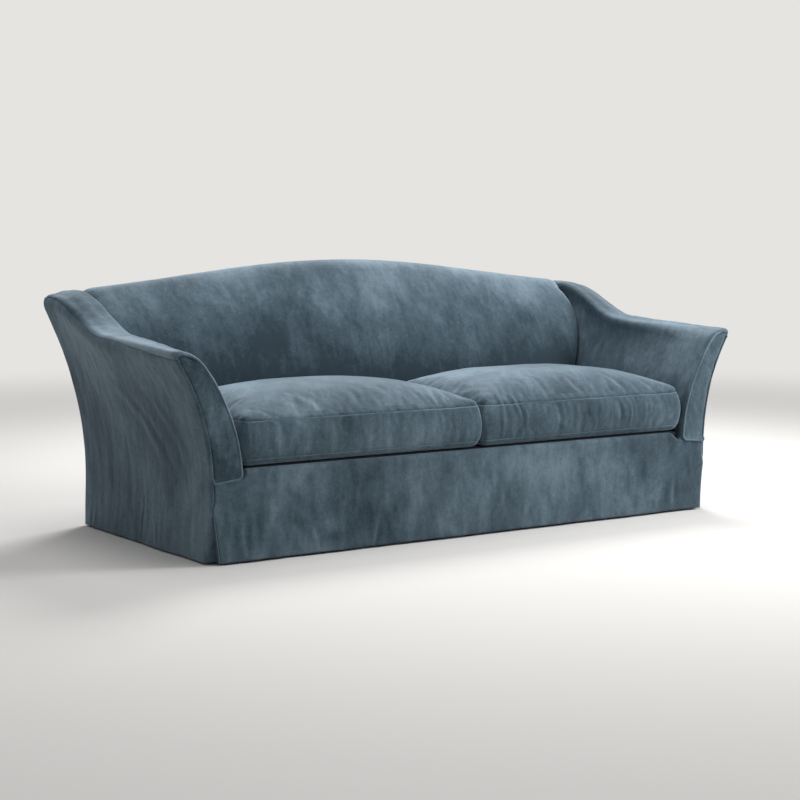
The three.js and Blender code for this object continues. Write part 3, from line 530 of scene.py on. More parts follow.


# ---- side panels, from the seam under the arm top down to the hem ----

# folds of the side: points in y and z, half width, height, painted tone along the fold (light on ridges,
# shade in hollows)
sideFolds = [
    ([(-0.002, 0.170), (0.009, 0.081), (0.015, 0.006)], 0.0060, -0.0036, -0.7),
    ([(-0.021, 0.160), (-0.018, 0.035)], 0.0070, 0.0026, 0.6),
    ([(-0.087, 0.090), (-0.096, 0.006)], 0.0060, 0.0034, 0.7),
    ([(-0.104, 0.080), (-0.112, 0.006)], 0.0060, -0.0030, -0.6),
    ([(0.118, 0.360), (0.106, 0.236), (0.102, 0.090)], 0.0160, -0.0030, -0.5),
    ([(0.233, 0.380), (0.241, 0.130)], 0.0180, -0.0026, -0.4),
    ([(0.150, 0.560), (-0.057, 0.417), (-0.170, 0.250)], 0.0150, 0.0024, 0.4),
    ([(0.010, 0.500), (-0.162, 0.346), (-0.260, 0.220)], 0.0140, -0.0026, -0.4),
    ([(-0.150, 0.520), (-0.270, 0.380), (-0.330, 0.240)], 0.0140, 0.0022, 0.3),
    ([(0.405, 0.060), (0.402, 0.006)], 0.0080, -0.0050, -0.9),
    ([(-0.350, 0.150), (-0.352, 0.006)], 0.0110, 0.0030, 0.4),
]

sidePanel = {
    "cornerRound": 0.010,
    "frontPlane": -0.4635,
    "rearPlane": 0.4725,
    "returnAbove": 0.0100,
    "returnBelow": 0.034,
    "dive": 0.007,
    "pleatTop": 0.205,
    "pleatOpening": 0.031,
    "hemSpread": 0.010,
    "foldQuick": 5,
    "foldDive": 0.008,
    "foldSize": 0.17,
    "narrowSize": 0.07,
    "narrowLean": 0.06,
    "foldHeight": 0.0045,
    "foldTop": 0.62,
    "unevenness": 0.0022,
    "readShare": 0.55,
    "calmShare": 0.05,
    "edgeDip": 0.0015,
    "edgeShare": 0.008,
    "seamDip": 0.0016,
    "seamWidth": 0.006,
    "seamShade": 0.5,
    "upperShade": 0.45,
    "planLevel": 0.6,
    "levels": 420,
    "rows": 130,
    "columns": 108,
    "seed": {"left": 2.3, "right": 8.6},
}


def sidePlan(z):
    # the panel's line in plan at one height, from its seam at the rear to its fold at the front
    v = sidePanel
    turn = v["cornerRound"]
    open_ = np.clip(1 - z / v["pleatTop"], 0, 1)
    folded = ease(open_ * v["foldQuick"])
    front, rear = v["frontPlane"] + v["pleatOpening"] * open_, v["rearPlane"] - rearSway(z)
    back, dive = mix(v["returnAbove"], v["returnBelow"], folded), v["dive"] + v["foldDive"] * folded

    def edge(y):
        return armSkinX(y, z) + v["hemSpread"] * hemShare(z)

    xr, xf = edge(rear), edge(front)
    y = np.linspace(rear - turn, front + turn, v["rows"])[1:]
    return np.concatenate([
        [(xr - v["returnAbove"], rear - v["dive"]), (xr - turn, rear)],
        bend((xr - turn, rear), (xr, rear), (edge(rear - turn), rear - turn), 6),
        np.stack([edge(y), y], axis=1),
        bend((edge(front + turn), front + turn), (xf, front), (xf - turn, front), 7),
        bend((xf - turn, front), (xf - back, front), (xf - back - 0.001, front + dive), 4),
    ])


def makeSidePanel(sideName):
    v = sidePanel
    sign, seed, columns = sideSign[sideName], v["seed"][sideName], v["columns"]
    places = sidePlan(v["planLevel"])[:, 1]
    rows = len(places) - 1
    seam = armTop(places) - seamDropAt(places) - seamGapAt(places)
    grid = np.linspace(sofaForm["hem"], float(seam.max()), v["levels"])
    plans = np.array([sidePlan(z) for z in grid])
    shares = 1 - (1 - np.linspace(0, 1, columns + 1)) ** 1.25
    table = np.zeros((rows + 1, columns + 1, 3))
    for i in range(rows + 1):
        levels = mix(sofaForm["hem"], seam[i], shares)
        table[i, :, 0] = np.interp(levels, grid, plans[:, i, 0]) * sign
        table[i, :, 1] = np.interp(levels, grid, plans[:, i, 1])
        table[i, :, 2] = levels
    y, z = table[..., 1], table[..., 2]
    low = np.clip(1 - z / v["foldTop"], 0, 1) ** 1.5
    narrow = ripples(y + v["narrowLean"] * z, v["narrowSize"], seed + 4)
    folds = v["foldHeight"] * low * (ripples(y, v["foldSize"], seed) + 0.5 * narrow)
    folds += v["unevenness"] * clouds(table * np.array([1, 1, 0.35]), 0.10, seed + 9)
    along = np.linspace(0, 1, rows + 1)[:, None]
    calm = ease(along / v["calmShare"]) * ease((1 - along) / v["calmShare"])
    top = seam[:, None] - z
    fading = 1 - runShare(places, armForm["seamRun"])[:, None]
    dip = -v["seamDip"] * fading * bell(top, v["seamWidth"])
    edge = -v["edgeDip"] * bell(1 - along, v["edgeShare"]) - v["edgeDip"] * bell(along, v["edgeShare"])
    read, paintedTone = readFolds(table, sideFolds, 0, v["readShare"])
    relief = (folds + read) * calm + dip + edge
    # painted shading: the folds' painted tone, a painted dark line at the seam, and painted shade darkening
    # the panel from 0.2 m up
    paintedShading = paintedTone - v["seamShade"] * bell(top, 0.004) * fading - v["upperShade"] * ease((z - 0.20) / 0.2)
    piece = clothFrom(f"sidePanel_{sideName}", table, (sign, 0, 0), velvetArm, relief, paintedShading=paintedShading)
    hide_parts(f"outside_arm_cover_{sideName}")


# ---- arm tops and inside arms ----

armCover = {
    "cornerRound": 0.012,
    "frontPlane": -0.4632,
    "rearPlane": 0.4722,
    "seamReturn": 0.0130,
    "dive": 0.008,
    "footZ": 0.2748,
    "frontFoot": 0.2600,
    "stations": 116,
    "columns": 96,
    # height and size of each noise, and how far its seed lies on
    "unevenness": ((0.0020, 0.16, 0), (0.0012, 0.05, 3)),
    "innerFolds": 0.0035,
    "calmShare": 0.07,
    "seamDip": 0.0016,
    "seamWidth": 0.006,
    "seed": {"left": 4.1, "right": 6.7},
}

armPadding = {
    "reach": 0.440,
    "inset": 0.0085,
    "outerFoot": 0.290,
    "innerFoot": 0.280,
    "stations": 60,
    "columns": 60,
    "seed": 31.0,
}


def armLine(y, inset, seamAt, footZ):
    # outline of the arm in (x, z): up the outside, over the top and down the inside
    y = np.array(float(y))
    outerIn, topIn, innerIn = (inset * share for share in armForm["insetShares"])
    top = float(armTop(y)) - topIn
    inner = top - float(mix(*armForm["fall"], runShare(y, armForm["fallRun"])))
    outerRound = max(float(outerRoundAt(y)) - topIn, 0.005)
    innerRound = max(float(mix(*armForm["innerRound"], depthShare(y))) - innerIn, 0.008)

    def outerAt(z):
        return np.array([float(armOuterX(y, z)) - outerIn - float(arcInset(outerRound, top - z)), z])

    def innerAt(z):
        return np.array([float(armRolledX(y, z)) + innerIn, z])

    points = []
    arcFoot = top - outerRound
    startAngle = 0.0
    if seamAt < arcFoot:
        points += [outerAt(z) for z in np.linspace(seamAt, arcFoot, 5)[:-1]]
    else:
        startAngle = math.asin(min(1, (seamAt - arcFoot) / outerRound))
    angles = np.linspace(startAngle, math.pi / 2, 12)
    points += [outerAt(arcFoot + outerRound * math.sin(angle)) for angle in angles]
    outerEnd, innerCorner = points[-1], innerAt(inner)
    across = (innerCorner - outerEnd) / np.linalg.norm(innerCorner - outerEnd)
    innerStart = innerCorner - across * innerRound
    width = np.linalg.norm(innerStart - outerEnd)
    for t in np.linspace(0, 1, 10)[1:]:
        crown = np.array([0, armForm["crown"] * min(1, width / 0.04) * math.sin(math.pi * t) ** 1.5])
        points.append(mix(outerEnd, innerStart, t) + crown)
    points += list(bend(innerStart, innerCorner, innerAt(inner - innerRound), 14))
    levels = mix(inner - innerRound, footZ, np.linspace(0, 1, 32)[1:] ** 1.3)
    points += [innerAt(z) for z in levels]
    return np.array(points)


def armStations(v):
    # places along the arm with how far the cloth is drawn in there: full, round the corner, then to its seam
    turn, rear, front = v["cornerRound"], v["rearPlane"], v["frontPlane"]
    quarter = [math.pi / 2 * k / 6 for k in range(7)]
    return [
        (rear - v["dive"] * 0.6, v["seamReturn"]),
        *((rear - turn * (1 - math.cos(angle)), turn * (1 - math.sin(angle))) for angle in quarter),
        *((y, 0.0) for y in np.linspace(rear - turn, front + turn, v["stations"])[1:-1]),
        *((front + turn * (1 - math.sin(angle)), turn * (1 - math.cos(angle))) for angle in quarter),
        (front + v["dive"] * 0.35, v["seamReturn"] - 0.0004),
        (front + v["dive"], v["seamReturn"]),
    ]


def makeArmCover(sideName):
    v = armCover
    sign, seed, columns = sideSign[sideName], v["seed"][sideName], v["columns"]
    stations = armStations(v)
    places = np.array([y for y, inset in stations])
    table = np.zeros((len(stations), columns + 1, 3))
    for i, (y, inset) in enumerate(stations):
        seamAt = float(armTop(y) - seamDropAt(y) + seamGapAt(y))
        foot = mix(v["frontFoot"], v["footZ"], float(ease((y + 0.450) / 0.030)))
        line = alongPath(armLine(y, inset, seamAt, foot), columns)
        table[i, :, 0], table[i, :, 2] = line[:, 0] * sign, line[:, 1]
        table[i, :, 1] = y
    share = np.linspace(0, 1, columns + 1)[None, :]
    t = spreadLengths(table)[1]
    inside = ease((share - 0.35) / 0.2)
    folds = sum(height * clouds(table, size, seed + more) for height, size, more in v["unevenness"])
    folds += inside * v["innerFolds"] * clouds(table * np.array([1, 1, 0.5]), 0.22, seed + 8)
    along = np.arange(len(stations))[:, None] / (len(stations) - 1)
    calm = ease(along / v["calmShare"]) * ease((1 - along) / v["calmShare"])
    fading = 1 - runShare(places, armForm["seamRun"])[:, None]
    relief = folds * calm - v["seamDip"] * fading * bell(t, v["seamWidth"])
    # painted light and shade: lighter along the outer edge, darker towards the rear and down the inside
    rearward = ease((places - 0.06) / 0.22)[:, None]
    atFront = ease((places + 0.452) / 0.05)[:, None]
    onTop = 1 - ease((share - 0.20) / 0.12)
    onEdge = 1 - ease((share - 0.05) / 0.07)
    paintedShading = mix(0.45 + 1.1 * onEdge * atFront, -1.8, rearward) * onTop
    paintedShading -= 1.7 * ease((share - 0.50) / 0.30) * mix(1.0, 0.3, rearward)
    piece = clothFrom(
        f"armCover_{sideName}", table, (-sign, 0, 0.4), velvetArm, relief, thickness=0.004, paintedShading=paintedShading)
    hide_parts(f"inside_arm_cover_{sideName}")


def makeArmPadding(sideName):
    # cotton padding under the arm's cover
    v = armPadding
    sign, columns = sideSign[sideName], v["columns"]
    places = np.linspace(-v["reach"], v["reach"], v["stations"])
    table = np.zeros((len(places), columns + 1, 3))
    for i, y in enumerate(places):
        line = alongPath(armLine(y, v["inset"], v["outerFoot"], v["innerFoot"]), columns)
        table[i, :, 0], table[i, :, 2] = line[:, 0] * sign, line[:, 1]
        table[i, :, 1] = y
    relief = 0.0008 * clouds(table, 0.06, v["seed"])
    piece = clothFrom(
        f"armPadding_{sideName}", table, (-sign, 0, 0.4), cottonPad, relief, thickness=0.007)
    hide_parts(f"arm_pad_{sideName}")


# ---- arm front panels ----

armPanel = {
    "plane": -0.4672,
    "rim": 0.0130,
    "valley": 0.0080,
    "innerValley": 0.30,
    "pillow": 0.030,
    "fullness": 2.6,
    "innerTopDrop": 0.026,
    "rows": 34,
    "columns": 96,
    "foot": 0.2640,
    "footFall": 0.0100,
    "footRound": 0.016,
    "footProud": 0.0022,
    "heelRound": 0.006,
    "weltRadius": 0.0032,
    "weltInset": 0.0020,
    "weltRise": 0.0012,
    "weltPlane": {"outer": -0.4592, "inner": -0.4646},
    "middleLevel": 0.45,
    "grooveWidth": 0.0055,
    "grooveShade": (1.6, -0.5),
    # painted shade on the left panel, painted light on the right one
    "paintedTone": {"left": -0.75, "right": 0.20},
    "seed": {"left": 9.4, "right": 12.8},
}


def panelOutline(inset):
    # closed line of the panel in (x, z): up its outer edge, over the top, down the inner edge, along the foot
    v = armPanel
    foot = v["foot"] + max(0.0, inset - v["rim"])
    line = armLine(v["plane"], inset, foot - v["footFall"], foot + v["footRound"])
    outer, inner = line[0], line[-1]
    sloped = foot - v["footFall"] * v["footRound"] / (outer[0] - inner[0])
    corner = bend(inner, (inner[0], foot), (inner[0] + v["footRound"], sloped), 8)
    return np.concatenate([line, corner, [outer]])


def footShare(z):
    return 1 - ease((z - armPanel["foot"] + 0.004) / 0.014)


def makeArmPanel(sideName):
    v = armPanel
    sign, seed = sideSign[sideName], v["seed"][sideName]
    rows, columns = v["rows"], v["columns"]
    outline = panelOutline(v["rim"])
    # four edges for the grid: outer, top, inner and foot, the top one ending a little down the inner side
    top = int(np.argmax(outline[:, 1]))
    below = np.abs(outline[:, 1] - (outline[top, 1] - v["innerTopDrop"]))
    innerTop = int(np.argmin(np.where(np.arange(len(outline)) > top + 8, below, 9)))
    footInner = len(outline) - 6
    outerEdge = alongPath(outline[: top + 1], columns)
    topEdge = alongPath(outline[top: innerTop + 1], rows)
    innerEdge = alongPath(outline[innerTop: footInner + 1][::-1], columns)
    footEdge = alongPath(outline[footInner:][::-1], rows)
    u = np.linspace(0, 1, rows + 1)[:, None, None]
    w = np.linspace(0, 1, columns + 1)[None, :, None]
    flat = (1 - w) * footEdge[:, None] + w * topEdge[:, None]
    flat = flat + (1 - u) * outerEdge[None] + u * innerEdge[None]
    flat -= (1 - u) * (1 - w) * outerEdge[0] + u * (1 - w) * innerEdge[0]
    flat -= (1 - u) * w * outerEdge[-1] + u * w * innerEdge[-1]
    table = np.zeros((rows + 1, columns + 1, 3))
    table[..., 0], table[..., 2] = flat[..., 0] * sign, flat[..., 1]
    # the cloth rises from the seam valley like a thin pillow
    distance = np.full(table.shape[:2], 9.0)
    for place in alongPath(outline, 260)[::2]:
        distance = np.minimum(distance, np.hypot(flat[..., 0] - place[0], flat[..., 1] - place[1]))
    rise = 1 - (1 - np.clip(distance / v["pillow"], 0, 1)) ** v["fullness"]
    atFoot = footShare(table[..., 2])
    inward = ease((u[..., 0] - 0.45) / 0.3)
    valley = v["valley"] * mix(1.0, v["innerValley"], inward)
    table[..., 1] = v["plane"] + valley * (1 - rise) * (1 - atFoot) - v["footProud"] * atFoot
    relief = 0.0016 * rise * clouds(table, 0.09, seed) + 0.0010 * rise * clouds(table, 0.035, seed + 5)
    # painted shade in the groove by the outer seam and a painted highlight along the inner edge
    groove = mix(*v["grooveShade"], inward) * bell(distance, v["grooveWidth"]) * (1 - atFoot)
    paintedShading = v["paintedTone"][sideName] - groove
    piece = clothFrom(f"armPanel_{sideName}", table, (0, -1, 0), velvetPanel, relief, paintedShading=paintedShading)
    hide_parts(f"arm_front_panel_{sideName}")

    # the welt round it, further forward along the inner edge
    path = alongPath(panelOutline(v["rim"] - v["weltInset"]), 500)
    heel = path[-1]
    path = path[np.linalg.norm(path - heel, axis=1) > v["heelRound"]]
    path = alongPath(np.concatenate([path, bend(path[-1], heel, path[0], 6)]), 280)[:-1]
    plane, level = v["plane"], v["middleLevel"]
    middleX = (armOuterX(plane, level) + armInnerX(plane, level)) / 2
    middleX = middleX + armOuterX(plane, path[:, 1]) - armOuterX(plane, level)
    innerSide = ease((middleX + 0.012 - path[:, 0]) / 0.024)
    planes = mix(v["weltPlane"]["outer"], v["weltPlane"]["inner"], innerSide)
    planes = mix(planes, plane - v["footProud"] + v["weltRise"], footShare(path[:, 1]))
    laid = np.stack([path[:, 0] * sign, planes, path[:, 1]], axis=1)
    cordOf(f"armWelt_{sideName}", laid, v["weltRadius"], velvetWelt, closed=True)


for sideName in ("left", "right"):
    makeArmCover(sideName)
    makeArmPadding(sideName)
    makeArmPanel(sideName)
    makeSidePanel(sideName)
print("arms covered")


# ---- the camel back ----

backCover = {
    "round": 0.036,
    "rearRound": 0.018,
    "rearDrop": 0.019,
    "sideGap": 0.0035,
    "endRoll": 0.044,
    "endDepth": 0.044,
    "flange": ((0.012, 0.006), (0.016, 0.014)),
    "footZ": 0.2985,
    "seamY": 0.4722,
    "middleEnd": 0.93,
    "rows": 230,
    "columns": 120,
    "ringSteps": 11,
    "unevenness": 0.0045,
    "smallUnevenness": 0.0018,
    "crestShare": 0.25,
    "lowFolds": 0.0022,
    "lowFoldSize": 0.045,
    "seed": 21.5,
}

backPadding = {"reach": 0.955, "inset": 0.010, "rows": 80, "columns": 60, "seed": 40.0}


def backLine(x, inset=0.0):
    # profile of the back at one place across, in (y, z), from the seat up over the crest to its rear seam
    v = backCover
    x = np.array(float(x))
    top = float(crestAt(x)) - inset

    def faceAt(z):
        return np.array([float(backFaceY(x, z)) + inset, z])

    turn = v["round"]
    points = [faceAt(z) for z in np.linspace(v["footZ"], top - turn, 60)]
    corner = np.array([float(backFaceY(x, top)) + inset, top])
    end = np.array([corner[0] + turn * 1.1, top])
    points += list(bend(points[-1], corner, end, 14))
    rear = v["seamY"] - inset
    start = np.array([rear - v["rearRound"], top - 0.001])
    points += [mix(end, start, t) for t in np.linspace(0, 1, 5)[1:]]
    points += list(bend(start, (rear, top), (rear, float(crestAt(x)) - v["rearDrop"]), 8))
    return np.array(points)


def makeBackCover():
    v = backCover
    rows, columns, seed = v["rows"], v["columns"], v["seed"]
    line = alongPath(backLine(v["middleEnd"]), columns)
    # the ends and the line they are read from settle in three rounds
    for turn in range(3):
        ends = np.array([float(armRolledX(y, z)) for y, z in line]) - v["sideGap"]
        line = alongPath(backLine(float(ends.mean())), columns)
    # steps across: flat middle, then closer round each rolled end
    flatEnd = 1 - v["endRoll"] / v["middleEnd"]
    ring = np.sin(np.linspace(0, 1, v["ringSteps"] + 1)[1:] * math.pi / 2)
    right = flatEnd + (1 - flatEnd) * ring
    across = np.linspace(-1, 1, rows + 1 - 2 * v["ringSteps"]) * flatEnd
    steps = np.concatenate([-right[::-1], across, right])
    table = np.zeros((rows + 1, columns + 1, 3))
    for i, step in enumerate(steps):
        table[i, :, 1:] = alongPath(backLine(abs(step) * float(ends.mean())), columns)
        table[i, :, 0] = step * ends
    near = np.clip((np.abs(steps) - flatEnd) / (1 - flatEnd), 0, 1)[:, None]
    roll = v["endDepth"] * (1 - np.sqrt(np.clip(1 - near ** 2, 0, 1)))
    ahead = np.clip((sofaForm["rear"] - 0.06 - table[..., 1]) / 0.18, 0, 1)
    table[..., 1] += roll * np.sqrt(ahead)
    table[..., 2] -= 0.012 * near ** 3 * ease((table[..., 2] - 0.7) / 0.1)
    # past its rolled ends the cloth goes on into the joint with the arm
    for out, down in v["flange"]:
        beyond = np.stack([table[0], table[-1]])
        beyond[..., 0] += np.array([[-out], [out]])
        beyond[..., 2] -= down * ease((beyond[..., 2] - 0.70) / 0.08)
        beyond[..., 1] = np.minimum(beyond[..., 1], v["seamY"] - 0.007)
        table = np.concatenate([beyond[:1], table, beyond[1:]])
        steps = np.concatenate([[-1], steps, [1]])
    x, z = table[..., 0], table[..., 2]
    calm = ease((1 - np.abs(steps)) / 0.06)[:, None]
    share = np.linspace(0, 1, columns + 1)[None, :]
    edge = ease(share / 0.05) * ease((1 - share) / 0.04)
    crestCalm = mix(v["crestShare"], 1.0, ease((crestAt(x) - z) / 0.16))
    relief = v["unevenness"] * clouds(table * np.array([1, 1, 0.7]), 0.30, seed)
    relief += v["smallUnevenness"] * clouds(table, 0.09, seed + 3)
    relief *= calm * edge * crestCalm
    low = np.clip(1 - (z - 0.45) / 0.16, 0, 1) * np.clip((z - 0.36) / 0.06, 0, 1)
    lowFolds = low * ripples(x + 0.1 * z, v["lowFoldSize"], seed + 7)
    relief += calm * v["lowFolds"] * lowFolds
    # painted shade and light: darkest low down and lightest towards the crest, with painted light on the
    # upper right and along the ridges of the low folds
    above = z - 0.56
    paintedShading = mix(-2.1, -0.75, ease((above + 0.10) / 0.18)) + 1.15 * ease((above - 0.06) / 0.22)
    paintedShading += 0.40 * ease((x - 0.25) / 0.5) * ease(above / 0.16) + 0.5 * lowFolds
    piece = clothFrom(
        "backCover", table, (0, -1, 0.4), velvetBack, relief, thickness=0.004, paintedShading=paintedShading)
    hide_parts("inside_back_cover")

    # cotton padding behind it
    pad, count = backPadding, backPadding["columns"]
    table = np.zeros((pad["rows"] + 1, count + 1, 3))
    for i, step in enumerate(np.linspace(-pad["reach"], pad["reach"], pad["rows"] + 1)):
        middle = alongPath(backLine(abs(step) * float(ends.mean()), pad["inset"])[:74], count)
        table[i, :, 1:] = middle
        table[i, :, 0] = step * np.interp(middle[:, 1], line[:60, 1], ends[:60])
    relief = 0.001 * clouds(table, 0.07, pad["seed"])
    padding = clothFrom(
        "backPadding", table, (0, -1, 0.4), cottonPad, relief, thickness=0.012)
    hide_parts("back_pad")


makeBackCover()

outsideBack = {
    "plane": 0.4730,
    "rim": 0.0085,
    "topRim": 0.0105,
    "valley": 0.004,
    "outerShare": 0.76,
    "foldHeight": 0.0045,
    "foldSize": 0.18,
    "foldTop": 0.5,
    "unevenness": 0.002,
    "deepest": -0.0004,
    "rows": 190,
    "columns": 84,
    "seed": 33.0,
}


def makeOutsideBack():
    v = outsideBack
    rows, columns, outerShare = v["rows"], v["columns"], v["outerShare"]
    rearY = sofaForm["rear"]
    steps = np.linspace(-1, 1, rows + 1)
    table = np.zeros((rows + 1, columns + 1, 3))
    armEnd = float(armRolledX(rearY, 0.80)) - 0.004
    # the arm's own end, a little within its turned edge
    armEdge = armLine(backCover["seamY"], v["topRim"], 0.70, 0.5)
    armEdge = armEdge[int(np.argmax(armEdge[:, 0])):][::-1]
    topOuter = float(armEdge[-1, 0]) - 0.010
    for i, step in enumerate(steps):
        reach = abs(step)
        topX = reach * topOuter
        crestSeam = float(crestAt(topX)) - backCover["rearDrop"] - 0.0005
        crestSeam -= 0.010 * float(ease((topX - armEnd + 0.044) / 0.044)) ** 2
        armSeam = float(np.interp(topX, armEdge[:, 0], armEdge[:, 1]))
        topZ = armSeam if topX > armEnd + 0.004 else max(crestSeam, armSeam)
        z = np.linspace(sofaForm["hem"], topZ, columns + 1)
        width = armSkinX(rearY, z) + sidePanel["hemSpread"] * hemShare(z) - v["rim"]
        outward = max(0, (reach - outerShare) / (1 - outerShare))
        x = mix(min(reach, outerShare) * topOuter, width, outward)
        table[i, :, 0] = x if step >= 0 else -x
        table[i, :, 2] = z
    z = table[..., 2]
    table[..., 1] = v["plane"] - rearSway(z)
    fromSide = 1 - np.abs(steps)[:, None]
    fromTop = 1 - np.linspace(0, 1, columns + 1)[None, :]
    edge = np.minimum(fromSide, fromTop * 0.9)
    table[..., 1] -= v["valley"] * (1 - np.clip(edge / 0.012, 0, 1)) ** 2
    low = np.clip(1 - z / v["foldTop"], 0, 1) ** 1.6
    folds = v["foldHeight"] * low * ripples(table[..., 0], v["foldSize"], v["seed"])
    folds += v["unevenness"] * clouds(table, 0.16, v["seed"])
    # the frame behind it keeps it from falling in
    relief = np.maximum(np.clip(edge / 0.03, 0, 1) * folds, v["deepest"])
    piece = clothFrom("outsideBack", table, (0, 1, 0), velvetArm, relief)
    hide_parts("outside_back_cover")


makeOutsideBack()
print("back covered")


# ---- front apron and skirt ----

frontSkirt = {
    "plane": -0.4650,
    "flare": 0.008,
    "apronTop": 0.2925,
    "roll": 0.016,
    "cornerFall": {"left": 0.001, "right": 0.028},
    "cornerReach": {"left": 0.012, "right": 0.042},
    "hiddenTop": 0.2760,
    "tuckFrom": 0.2622,
    "tuck": 0.0105,
    "pleatTop": 0.205,
    "pleatOpening": 0.035,
    "edgeInset": 0.0120,
    "cornerRound": 0.006,
    "returnBelow": 0.034,
    "foldQuick": 6,
    "foldOut": 0.0110,
    "foldHeight": 0.0060,
    "foldTop": 0.27,
    "foldSize": 0.15,
    "narrowSize": 0.055,
    "unevenness": 0.0022,
    "deepest": -0.0022,
    "hemRise": 0.0022,
    "columns": 66,
    "rollSteps": 8,
    "turnSteps": 8,
    "seed": 51.0,
}

# folds of the skirt with painted light and shade along them: points in x and z, half width, height, painted
# tone
skirtFolds = [
    ([(-0.921, 0.150), (-0.929, 0.086), (-0.922, 0.032), (-0.914, 0.006)], 0.0110, 0.0034, 0.8),
    ([(-0.669, 0.090), (-0.661, 0.047), (-0.655, 0.006)], 0.0080, 0.0036, 0.8),
    ([(-0.430, 0.100), (-0.433, 0.058), (-0.447, 0.006)], 0.0080, 0.0036, 0.9),
    ([(-0.270, 0.150), (-0.295, 0.085), (-0.320, 0.040)], 0.0260, 0.0024, 0.7),
    ([(-0.105, 0.180), (-0.133, 0.105)], 0.0240, 0.0020, 0.5),
    ([(-0.682, 0.268), (-0.679, 0.215)], 0.0160, -0.0018, -0.7),
    ([(-0.861, 0.200), (-0.869, 0.040)], 0.0170, -0.0024, -0.5),
    ([(-0.640, 0.052), (-0.560, 0.044)], 0.0180, -0.0020, -0.8),
    ([(-0.138, 0.262), (-0.138, 0.215)], 0.0150, -0.0016, -0.6),
    ([(-0.392, 0.120), (-0.386, 0.050)], 0.0110, -0.0026, -0.7),
    ([(0.088, 0.150), (0.076, 0.085)], 0.0080, 0.0026, 0.7),
    ([(0.196, 0.090), (0.184, 0.050)], 0.0080, 0.0026, 0.7),
    ([(0.432, 0.235), (0.436, 0.110)], 0.0200, -0.0020, -0.7),
    ([(0.640, 0.090), (0.625, 0.020)], 0.0220, 0.0024, 0.7),
    ([(0.720, 0.180), (0.716, 0.120)], 0.0130, -0.0016, -0.5),
    ([(0.786, 0.060), (0.784, 0.010)], 0.0090, 0.0026, 0.5),
    ([(0.868, 0.130), (0.860, 0.060), (0.866, 0.012)], 0.0100, 0.0030, 0.7),
    ([(0.470, 0.020), (0.480, 0.006)], 0.0100, 0.0030, 0.8),
]


